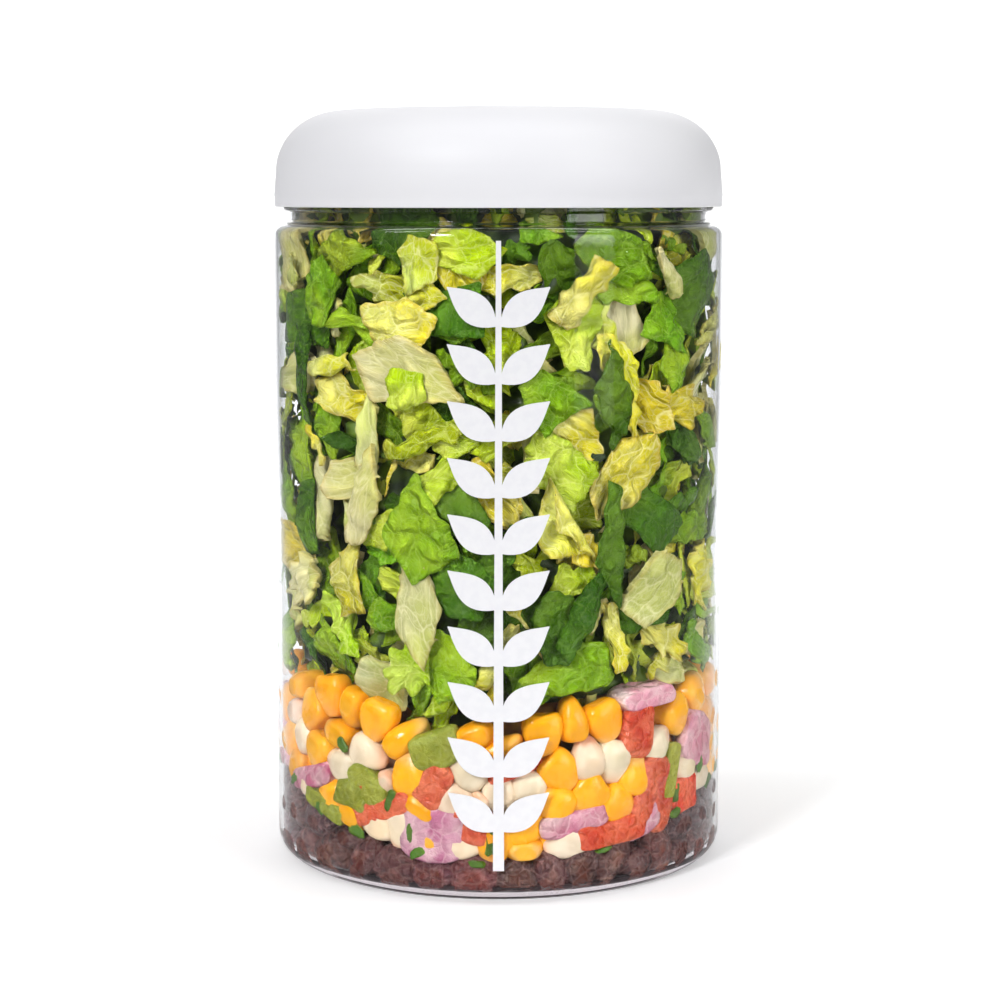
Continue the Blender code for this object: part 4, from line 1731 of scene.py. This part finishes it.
@dataclass
class Bed:
    """Everything below the leaves: corn, white corn, diced vegetables and black beans."""

    vessel: Vessel
    layers: Layers
    core_radius: float
    core_low: float
    scatter: ScatterTree
    variants: int = 7
    rounds: int = 190
    seed: int = 5
    press: float = 0.05 * MM
    counts: tuple[tuple[str, int], ...] = (
        ("corn_kernels", 118),
        ("white_kernels", 54),
        ("tomato_pieces", 12),
        ("red_onion_pieces", 8),
        ("green_pepper_pieces", 9),
        ("herb_pieces", 48),
        ("black_beans", 170),
    )

    def gather(self) -> Pile:
        """Places the landmarks and the loose pieces, and shakes them down."""
        random = np.random.default_rng(self.seed)
        layers = self.layers
        corn_band = (layers.corn_space, layers.corn_ceiling)
        bean_band = (layers.below_beans, layers.beans_space)
        pile = Pile(self.vessel, self.core_radius, self.core_low, random)
        for mark in _landmarks():
            half = np.array(MORSELS[mark.name].half) * np.array(mark.scale) * MM
            angle = math.radians(mark.around)
            radius = self.vessel.inside - half[2]
            spot = np.array([radius * math.sin(angle), -radius * math.cos(angle), mark.height * MM])
            pile.add(mark.name, spot, half, random_turn(random, angle, mark.spin), corn_band, True)
        for name, count in self.counts:
            band = bean_band if name == "black_beans" else corn_band
            for _ in range(count):
                spot, angle = self.free_spot(pile, band, random, name == "black_beans")
                scale = 1 + np.clip(random.normal(0, 0.08, 3), -0.16, 0.16) + random.normal(0, 0.04)
                half = np.array(MORSELS[name].half) * scale * MM
                near_wall = math.hypot(*spot[:2]) > self.vessel.inside - 6.5 * MM and random.random() < 0.6
                pile.add(name, spot, half, random_turn(random, angle if near_wall else None), band)
        pile.shake(self.rounds)
        return pile

    def free_spot(self, pile: Pile, band: tuple, random: Rng, below: bool) -> tuple[Array, float]:
        """The one of several random spots that is farthest from every piece so far.

        Args:
            pile: The pieces so far.
            band: The layer's floor and top.
            random: Source of the spots.
            below: Whether the piece may lie under the core.

        Returns:
            The spot, and its angle round the jar.
        """
        best, most, chosen = None, -1.0, 0.0
        taken = np.array(pile.centres)
        for _ in range(14):
            angle = random.uniform(-math.pi, math.pi)
            low = 0.0 if below and random.random() < 0.38 else self.core_radius + 2 * MM
            radius = math.sqrt(random.uniform(low**2, (self.vessel.inside - 3 * MM) ** 2))
            x, y = radius * math.sin(angle), -radius * math.cos(angle)
            floor, top = (float(edge(np.array(x), np.array(y))) for edge in band)
            under = radius < self.core_radius
            z = self.vessel.floor_z + 3.3 * MM if under else random.uniform(floor + 3 * MM, top - 3 * MM)
            gap = np.min(np.linalg.norm(taken - (x, y, z), axis=1))
            if gap > most:
                best, most, chosen = np.array([x, y, z]), gap, angle
        return best, chosen

    def build(self, pile: Pile, finishes: dict[str, Material]) -> None:
        """Makes one piece for each kind in the pile."""
        for number, (name, morsel) in enumerate(MORSELS.items()):
            chosen = [i for i, kind in enumerate(pile.names) if kind == name]
            random = np.random.default_rng(self.seed + number)
            shapes = bpy.data.collections.new(name + "_shapes")
            for variant in range(self.variants):
                label = f"{name}_shape_{variant}"
                shapes.objects.link(bpy.data.objects.new(label, morsel_mesh(morsel, label, random)))
            spots = bpy.data.meshes.new(name)
            spots.from_pydata([tuple(pile.centres[i]) for i in chosen], [], [])
            size = np.array([pile.halves[i] for i in chosen]) / (np.array(morsel.half) * MM)
            turns = turn_angles(np.array([pile.turns[i] for i in chosen]))
            store(spots, "Scale", "FLOAT_VECTOR", size)
            store(spots, "Turn", "FLOAT_VECTOR", turns)
            store(spots, "Item", "FLOAT", np.arange(len(chosen)))
            piece = placed(name, spots)
            inputs = {"Shapes": shapes, "Size": 1.0, "Seed": 3 + number, "Finish": finishes[name]}
            run_nodes(piece, self.scatter.tree, inputs)
            self.press_and_tint(piece.data, morsel, len(chosen), random)
            piece.data.shade_smooth()
            hand_over(piece, morsel.slot, "black_beans" if name == "black_beans" else "corn_mix")
            for shape in list(shapes.objects):
                bpy.data.meshes.remove(shape.data)
            bpy.data.collections.remove(shapes)

    def press_and_tint(self, mesh: Mesh, morsel: Morsel, count: int, random: Rng) -> None:
        """Flattens the pieces on the wall and the floor, and colours their points.

        Args:
            mesh: The kind's realised mesh.
            morsel: The kind.
            count: How many pieces it holds.
            random: Source of each piece's own shade.
        """
        points = points_of(mesh)
        local = values_of(mesh, "Local", 3)
        item = values_of(mesh, "Item", 1)[:, 0].astype(int)
        reach = np.hypot(points[:, 0], points[:, 1])
        own = (random.uniform(-1, 0, count) * 0.15 * MM)[item]
        most = self.vessel.inner_radius(points[:, 2]) + self.press - own
        pressed = smoothstep(-0.25 * MM, 0.12 * MM, reach - most)
        points[:, :2] *= np.minimum(1, most / np.maximum(reach, 1e-9))[:, None]
        points[:, 2] = np.maximum(points[:, 2], self.vessel.floor_z - self.press)
        mesh.vertices.foreach_set("co", points.astype(np.float32).ravel())
        mesh.update()
        shade = 1 + random.normal(0, morsel.variety, count)[:, None]
        shade = shade * (1 + random.normal(0, morsel.variety * 0.5, (count, 3)))
        amount = np.clip(random.normal(1, 0.45, count), 0, 1.6)[item]
        blotch = waves(local + item[:, None] * 3.7, (0.7, 1.8), 5, random)
        tip = smoothstep(-0.35, -0.95, local[:, 0] + 0.15 * blotch) * morsel.tip_share * amount
        tints = mixed(morsel.body, morsel.tip, np.clip(tip, 0, 1))
        edge = smoothstep(0.1, 0.8, local[:, 2] + 0.25 * blotch) * morsel.edge_share * amount
        tints = mixed(tints, morsel.edge, np.clip(edge, 0, 1))
        if morsel.rim is not None:
            patch = smoothstep(-0.1 * MM, 0.04 * MM, reach - most)
            tints = mixed(tints, morsel.rim, 2.2 * patch * (1 - patch))
            pressed = smoothstep(0.5, 1.0, patch)
        tints = mixed(tints, morsel.pressed, pressed * 0.8)
        tints = tints * shade[item] * (1 + 0.06 * blotch)[:, None]
        store_tint(mesh, np.clip(tints, 0.003, 0.93))
        for label in ("Local", "Item", "Turn", "Scale"):
            if mesh.attributes.get(label):
                mesh.attributes.remove(mesh.attributes[label])


@dataclass(frozen=True)
class CoreFinish:
    """The shaded middle of a layer, seen only through gaps: food colours darkened as painted shade, in soft patches.
    The bean juice uses it for its own dark colour.
    """

    name: str
    dark: Array
    light: Array
    scale: float = 120.0

    def build(self, groups: ShaderGroups) -> Material:
        """Makes the material."""
        material, graph, shader = material_graph(self.name)
        place = graph.on_piece()
        patches = graph.noise(place, self.scale, 3.0).outputs[0]
        moist = graph.place(groups.moist, {"Vector": place, "Grain": 700.0, "Wet": 0.3, "Dry": 0.6})
        values = {
            "Base Color": graph.blend(graph.ramp(patches, 0.4, 0.62), self.dark, self.light),
            "Roughness": moist.outputs["Roughness"],
            "Normal": graph.bump(patches, 0.7, 1 * MM),
        }
        graph.fill(shader, values)
        return material


@dataclass(frozen=True)
class Core:
    """The middle of one layer, which fills what the loose pieces leave open."""

    name: str
    node: str
    slot: str
    floor: Callable
    top: Callable
    radius: float
    relief: float
    segments: int = 144
    rows: int = 48
    rings: int = 12

    def build(self, vessel: Vessel, finish: Material, seed: int) -> None:
        """Makes the core: an uneven side between the layer's two surfaces."""
        random = np.random.default_rng(seed)
        angles = np.linspace(0, 2 * math.pi, self.segments, endpoint=False)
        circle = np.stack([np.sin(angles), -np.cos(angles)], axis=-1)
        outwards = np.linspace(0.12, 1, self.rings)
        lines = [(share, 0.0) for share in outwards] + [(1.0, up) for up in np.linspace(0, 1, self.rows)[1:-1]]
        lines += [(share, 1.0) for share in np.linspace(1, 0.12, self.rings)]
        grid = np.empty((len(lines), self.segments, 3))
        for number, (out, up) in enumerate(lines):
            x, y = (self.radius * out * circle).T
            floor, top = self.floor(x, y), self.top(x, y)
            height = floor + (top - floor) * up
            limit = np.minimum(1, (vessel.inner_radius(height) - 3 * MM) / self.radius)
            grid[number] = np.stack([x * limit, y * limit, height], axis=-1)
        bumps = waves(grid, (4 * MM, 12 * MM), 9, random)
        side = np.array([1.0 if 0 < up < 1 else 0.0 for _, up in lines])[:, None]
        scale = 1 + side * self.relief * bumps / self.radius
        grid[..., :2] *= scale[..., None]
        mesh = ringed_mesh(self.name, grid, [grid[0].mean(axis=0), grid[-1].mean(axis=0)])
        hand_over(placed(self.name, mesh, finish), self.slot, self.node)


@dataclass
class Juice:
    """The thin layer of dark bean liquid on the jar's floor, up into its rounded heel."""

    vessel: Vessel
    depth: float = 1.5 * MM
    press: float = 0.05 * MM
    meniscus: float = 0.5 * MM
    steps: int = 8

    def build(self, shells: TurnedShell, finish: Material) -> None:
        """Makes the layer."""
        floor = self.vessel.floor_z
        heights = np.linspace(0, self.depth, self.steps)
        radii = self.vessel.inner_radius(floor + heights) + self.press
        top = floor + self.depth - self.meniscus
        profile = [(0.0, top), (radii[-1] - 6 * self.meniscus, top), (radii[-1] - 2 * self.meniscus, top + 0.2 * MM)]
        profile += [(float(radius), floor + float(height)) for radius, height in zip(radii[::-1], heights[::-1])]
        profile += [(0.0, floor - self.press)]
        hand_over(shells.make("bean_juice", profile, 128, finish), "bean_skin", "black_beans")


# ---------- The printed sprig ----------


class SprigTree:
    """A Geometry Nodes tree that repeats a pair of leaves up a stem and lays them round the jar."""

    def __init__(self) -> None:
        """Builds the tree."""
        inputs = {"Pair": "Geometry", "Stem": "Object", "Pairs": 8, "Lowest": 0.012, "Step": 0.014}
        inputs |= {"Radius": 0.0475, "Finish": "Material"}
        graph = Graph.group("printed_sprig", "GeometryNodeTree", inputs, {"Print": "Geometry"})
        given = graph.given
        start = graph.add("ShaderNodeCombineXYZ", {"Z": given["Lowest"]})
        step = graph.add("ShaderNodeCombineXYZ", {"Z": given["Step"]})
        line = graph.add(
            "GeometryNodeMeshLine",
            {"Count": given["Pairs"], "Start Location": start.outputs[0], "Offset": step.outputs[0]},
        )
        pairs = graph.add(
            "GeometryNodeInstanceOnPoints", {"Points": line.outputs[0], "Instance": given["Pair"]}
        )
        stem = graph.add("GeometryNodeObjectInfo", {"Object": given["Stem"]})
        joined = graph.add("GeometryNodeJoinGeometry")
        graph.tree.links.new(stem.outputs["Geometry"], joined.inputs[0])
        graph.tree.links.new(pairs.outputs[0], joined.inputs[0])
        whole = graph.add("GeometryNodeRealizeInstances", {0: joined.outputs[0]})
        spot = graph.split(graph.add("GeometryNodeInputPosition").outputs[0])
        angle = graph.math("DIVIDE", spot[0], given["Radius"])
        reach = graph.math("SUBTRACT", given["Radius"], spot[1])
        x = graph.math("MULTIPLY", reach, graph.math("SINE", angle))
        y = graph.math("MULTIPLY", reach, graph.math("MULTIPLY", graph.math("COSINE", angle), -1.0))
        bent = graph.add("ShaderNodeCombineXYZ", {0: x, 1: y, 2: spot[2]})
        moved = graph.add(
            "GeometryNodeSetPosition", {"Geometry": whole.outputs[0], "Position": bent.outputs[0]}
        )
        graph.dress(moved.outputs[0])
        self.tree = graph.tree


@dataclass
class Sprig:
    """A plain leafy sprig printed up the front of the jar."""

    radius: float
    low: float = 7 * MM
    high: float = 131 * MM
    pairs: int = 10
    stem_width: float = 2.2 * MM
    leaf_length: float = 12.2 * MM
    leaf_width: float = 6.0 * MM
    lean: float = 38.0
    ink: float = 0.1 * MM
    sunk: float = 0.04 * MM

    def slab(self, outline: Callable, lengthwise: int, crosswise: int) -> tuple[Array, Array]:
        """A thin closed slab, flat before the bend: X across, Y into the jar, Z up.

        Args:
            outline: Gives the centre, crosswise direction and half width at a share of the length.
            lengthwise: Steps along it.
            crosswise: Steps across it.

        Returns:
            Its points and faces.
        """
        front = np.full((lengthwise + 1, crosswise + 1, 3), -self.ink)
        for i in range(lengthwise + 1):
            centre, across, half = outline(i / lengthwise)
            offset = half * np.linspace(-1, 1, crosswise + 1)
            front[i, :, 0], front[i, :, 2] = centre[0] + across[0] * offset, centre[1] + across[1] * offset
        return thick_sheet(front, self.ink + self.sunk)

    def leaf(self, side: int) -> Callable:
        """The outline of one leaf of the pair, on the left (-1) or right (1)."""
        angle = math.radians(self.lean)
        along = (side * math.cos(angle), math.sin(angle))
        across = (-along[1], along[0])

        def outline(share: float) -> tuple:
            """Centre, crosswise direction and half width at this share of the leaf."""
            reach = 0.5 * MM + share * self.leaf_length
            half = self.leaf_width / 2 * max(math.sin(math.pi * share**0.85), 0.03)
            return (along[0] * reach, along[1] * reach), across, half

        return outline

    def stem(self, share: float) -> tuple:
        """The stem's centre, crosswise direction and half width at this share of its height."""
        half = self.stem_width / 2 * (1 - 0.55 * share)
        return (0.0, self.low + share * (self.high - self.low)), (-1.0, 0.0), half

    @staticmethod
    def solid(name: str, slabs: list[tuple[Array, Array]]) -> Mesh:
        """Joins slabs into one mesh that faces outwards."""
        mesh = bpy.data.meshes.new(name)
        points, faces = [], []
        for slab_points, slab_faces in slabs:
            faces += (slab_faces + len(points)).tolist()
            points += slab_points.tolist()
        mesh.from_pydata(points, [], faces)
        return face_outwards(mesh)

    def build(self, tree: SprigTree, finish: Material) -> None:
        """Makes the print."""
        leaves = self.solid("printed_sprig", [self.slab(self.leaf(side), 12, 4) for side in (-1, 1)])
        stem = bpy.data.objects.new("sprig_stem", self.solid("sprig_stem", [self.slab(self.stem, 120, 2)]))
        step = (self.high - self.low - self.leaf_length * 1.1) / self.pairs
        piece = placed("printed_sprig", leaves)
        inputs = {"Stem": stem, "Pairs": self.pairs, "Lowest": self.low + 0.7 * step, "Step": step}
        run_nodes(piece, tree.tree, {**inputs, "Radius": self.radius, "Finish": finish})
        bpy.data.meshes.remove(stem.data)
        hand_over(piece, "white_print")


# ---------- The studio ----------


@dataclass(frozen=True)
class Lamp:
    """One soft box."""

    name: str
    place: tuple[float, float, float]
    aim: tuple[float, float, float]
    size: tuple[float, float]
    power: float
    colour: Colour = (1.0, 1.0, 1.0)

    def build(self) -> None:
        """Makes the lamp."""
        data = bpy.data.lights.new(self.name, "AREA")
        data.shape = "RECTANGLE"
        data.size, data.size_y = self.size
        data.energy = self.power
        data.color = self.colour
        lamp = bpy.data.objects.new(self.name, data)
        aim_at(lamp, self.place, self.aim)
        bpy.context.scene.collection.objects.link(lamp)


def aim_at(thing: Piece, place: Sequence[float], aim: Sequence[float]) -> None:
    """Puts a lamp or camera at a place and points it at another."""
    out = np.array(place, float) - np.array(aim, float)
    thing.location = place
    thing.rotation_euler = (math.acos(out[2] / np.linalg.norm(out)), 0.0, math.atan2(out[0], -out[1]))


@dataclass
class Studio:
    """A plain white floor and backdrop, soft lamps, and the camera in front of the jar."""

    middle_z: float
    camera_place: tuple[float, float, float] = (0.0, -0.5073, 0.1400)
    camera_pitch: float = 6.13
    camera_lens: float = 85.94
    camera_shift: tuple[float, float] = (0.0015, -0.05)
    floor_width: float = 3.0
    floor_front: float = -1.6
    floor_back: float = 0.9
    sweep: float = 0.5
    world: float = 0.2
    glow: tuple[float, float] = (0.3, 0.8)
    glow_fade: tuple[float, float] = (-0.1, 0.4)
    lit_spread: float = 0.24
    lit_reach: tuple[float, float] = (0.14, 0.29)
    side_shade: float = 0.72
    front_fade: tuple[float, float] = (-0.45, -0.1)
    front_shade: float = 0.55

    def floor(self) -> None:
        """Makes the floor, which sweeps up behind the jar."""
        profile = [(self.floor_front, 0.0), (self.floor_back, 0.0)]
        profile += arc((self.floor_back, self.sweep), (self.sweep, self.sweep), -90, 0, 16)[1:]
        profile += [(self.floor_back + self.sweep, 2.2)]
        half = self.floor_width / 2
        points = [(x, y, z) for y, z in profile for x in (-half, half)]
        faces = [(2 * i, 2 * i + 1, 2 * i + 3, 2 * i + 2) for i in range(len(profile) - 1)]
        mesh = bpy.data.meshes.new("studio_floor")
        mesh.from_pydata(points, [], faces)
        mesh.shade_smooth()
        material, graph, shader = material_graph("studio_white")
        place = graph.on_piece()
        colour = graph.blend(
            graph.noise(place, 3.0, 1.0).outputs[0], paint(252, 252, 253), paint(250, 250, 252)
        )
        x, y, _ = graph.split(place)
        front = graph.ramp(y, *self.front_fade, 1.0, 0.0)
        away = graph.math("MULTIPLY", y, self.lit_spread)
        reach = graph.math("SUBTRACT", graph.math("ABSOLUTE", x), away)
        aside = graph.ramp(reach, *self.lit_reach)
        colour = graph.blend(aside, colour, np.full(3, self.side_shade))
        # Painted light: the floor's emission makes it glow, more behind the jar than near it, and not at all at the
        # sides or in front.
        behind = graph.ramp(y, *self.glow_fade, 0.0, 1.0)
        near, far = (np.full(3, glow) for glow in self.glow)
        lit = graph.blend(aside, graph.blend(behind, near, far), np.zeros(3))
        values = {
            "Base Color": graph.blend(front, colour, np.full(3, self.front_shade)),
            "Roughness": 0.9,
            "Specular IOR Level": 0.1,
            "Emission Color": graph.blend(front, lit, np.zeros(3)),
            "Emission Strength": 1.0,
        }
        graph.fill(shader, values)
        placed("studio_floor", mesh, material)

    def lights(self) -> None:
        """Makes the world and the lamps."""
        world = bpy.data.worlds.new("studio")
        bpy.context.scene.world = world
        world.use_nodes = True
        background = world.node_tree.nodes["Background"]
        background.inputs["Color"].default_value = (1.0, 1.0, 1.0, 1.0)
        background.inputs["Strength"].default_value = self.world
        middle = (0.0, 0.0, self.middle_z)
        for lamp in (
            Lamp("key", (-0.65, -1.1, 0.85), middle, (0.24, 0.32), 8.8),
            Lamp("fill", (0.95, -0.85, 0.4), middle, (0.5, 0.8), 4.8),
            Lamp("overhead", (0.0, -0.1, 1.1), middle, (1.5, 0.16), 4.2),
        ):
            lamp.build()

    def camera(self) -> None:
        """Makes the camera."""
        data = bpy.data.cameras.new("camera")
        data.lens = self.camera_lens
        data.shift_x, data.shift_y = self.camera_shift
        data.clip_start = 0.01
        camera = bpy.data.objects.new("camera", data)
        camera.location = self.camera_place
        camera.rotation_euler = (math.radians(90 - self.camera_pitch), 0.0, 0.0)
        bpy.context.scene.collection.objects.link(camera)
        bpy.context.scene.camera = camera

    def build(self) -> None:
        """Makes the whole studio."""
        self.floor()
        self.lights()
        self.camera()
        bpy.context.scene.view_settings.view_transform = "Standard"


# ---------- The whole model ----------


LEAF_FINISHES = (
    LeafFinish("romaine_ribs", paint(240, 234, 190), 0.3, 0.2, stretch=(0.4, 1.0), relief=0.5, wet=0.1),
    LeafFinish("romaine_hearts", paint(240, 236, 184), 0.35, 0.2, stretch=(0.6, 1.0)),
    LeafFinish("romaine_inner", paint(222, 228, 130), 0.35, 0.2, stretch=(0.7, 1.0)),
    LeafFinish("romaine_outer", paint(170, 196, 84), 0.3, 0.2, stretch=(0.8, 1.0)),
    LeafFinish("spinach_leaves", paint(110, 144, 60), 0.3, 0.18, wet=0.1, dry=0.34),
)

MORSEL_FINISHES = (
    MorselFinish("corn_kernels", paint(250, 192, 36), 0.3, relief=0.4),
    MorselFinish("white_kernels", paint(236, 222, 200), 0.35),
    MorselFinish(
        "tomato_pieces", paint(236, 128, 84), 0.5, relief=0.8, wrinkle=0.6, cell=2.6 * MM, lines=0.25,
        wet=0.08,
        gloss=0.5,
    ),
    MorselFinish(
        "red_onion_pieces", paint(236, 206, 206), 0.45, relief=0.6, wrinkle=0.5, cell=3.6 * MM, lines=0.3,
    ),
    MorselFinish(
        "green_pepper_pieces", paint(176, 182, 80), 0.45, relief=0.8, wrinkle=0.5, cell=2.2 * MM, lines=0.25,
        wet=0.08,
    ),
    MorselFinish("herb_pieces", paint(110, 140, 50), 0.4, relief=0.5),
    # The beans' pale fleck colour, in patches and along the wrinkles, is partly residue on the skin and partly
    # painted glints.
    MorselFinish(
        "black_beans", paint(160, 122, 114), 0.14, grain=1400.0, wet=0.12, dry=0.3, relief=0.6, wrinkle=1.0,
        cell=2.2 * MM, lines=0.3, gloss=0.4,
    ),
)


@dataclass
class SaladJar:
    """The whole object: clear jar, white lid, printed sprig, and the salad in its layers."""

    core_radius: float = 34 * MM
    core_low: float = 8.5 * MM

    def __post_init__(self) -> None:
        """Takes the main sizes from the frame."""
        jar_low, jar_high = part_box("jar")
        lid_low, lid_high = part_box("lid")
        _, greens_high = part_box("greens")
        self.vessel = Vessel(radius=jar_high[0], rim_z=jar_high[2])
        self.lid = Lid(lid_high[0], lid_low[2], lid_high[2])
        self.layers = Layers(self.vessel.inside, self.vessel.floor_z, greens_high[2])

    def cores(self) -> list[tuple[Core, CoreFinish]]:
        """The middles of the three layers and their finishes."""
        layers, radius = self.layers, self.core_radius
        above_floor = lambda x, y: np.full_like(x, self.core_low)
        # The core colours are painted shade: each is a darker version of its layer's food.
        return [
            (
                Core(
                    "greens_core", "greens", "green_leaves", layers.corn_top, layers.above_leaves, 39 * MM, 3 * MM
                ),
                CoreFinish("greens_core", paint(30, 52, 6), paint(92, 120, 16)),
            ),
            (
                Core("corn_core", "corn_mix", "corn_kernels", layers.beans_top, layers.corn_top, radius, 0.8 * MM),
                CoreFinish("corn_core", paint(150, 84, 18), paint(206, 150, 50), 160.0),
            ),
            (
                Core("beans_core", "black_beans", "bean_skin", above_floor, layers.beans_top, radius, 0.8 * MM),
                CoreFinish("beans_core", paint(24, 12, 14), paint(46, 24, 24), 160.0),
            ),
        ]

    def build(self) -> None:
        """Makes every piece."""
        groups = ShaderGroups()
        shells = TurnedShell()
        clear, white, ink = (finish.build(groups) for finish in (ClearPlastic(), WhitePlastic(), WhiteInk()))
        Jar(self.vessel).build(shells, clear)
        self.lid.build(shells, white)
        Sprig(self.vessel.radius).build(SprigTree(), ink)
        Juice(self.vessel).build(
            shells, CoreFinish("bean_juice", paint(30, 12, 18), paint(52, 26, 28)).build(groups)
        )
        for number, (core, finish) in enumerate(self.cores()):
            core.build(self.vessel, finish.build(groups), 20 + number)
        bed = Bed(self.vessel, self.layers, self.core_radius, self.core_low, ScatterTree())
        pile = bed.gather()
        bed.build(pile, {finish.name: finish.build(groups) for finish in MORSEL_FINISHES})
        low, high = 26 * MM, self.vessel.rim_z - 1.2 * MM
        stack = WallStack(self.vessel, low, high)
        mark_pile(stack, pile)
        finishes = {finish.name: finish.build(groups) for finish in LEAF_FINISHES}
        Greens(self.vessel, self.layers, stack, 33 * MM, high - 2 * MM).build(finishes)


def mark_pile(stack: WallStack, pile: Pile) -> None:
    """Marks the wall cells that the loose pieces below the leaves fill."""
    line = np.linspace(-1, 1, 13)
    u, v = np.meshgrid(line, line)
    inside = u**2 + v**2 <= 1
    u, v = u[inside], v[inside]
    for centre, half, turn in zip(pile.centres, pile.halves, pile.turns):
        if centre[2] < stack.low:
            continue
        radius = math.hypot(centre[0], centre[1])
        across = half[0] * abs(turn[:2, 0] @ turn[:2, 0]) ** 0.5 * 0.8
        up = half[0] * abs(turn[2, 0]) * 0.8
        reach = max(across, half[2]), max(up, half[2])
        around = math.atan2(centre[0], -centre[1]) * stack.vessel.inside + u * reach[0]
        height = np.maximum(centre[2] + v * reach[1], stack.low)
        depth = np.full_like(around, stack.vessel.inside - radius + half[2])
        np.maximum.at(stack.filled, stack.cells(around, height), depth)


def main() -> None:
    """Builds the studio and the salad jar."""
    logging.basicConfig(level=logging.INFO, format="%(message)s")
    jar_low, lid_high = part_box("jar")[0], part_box("lid")[1]
    Studio(middle_z=(jar_low[2] + lid_high[2]) / 2).build()
    SaladJar().build()


if __name__ == "__main__":
    main()
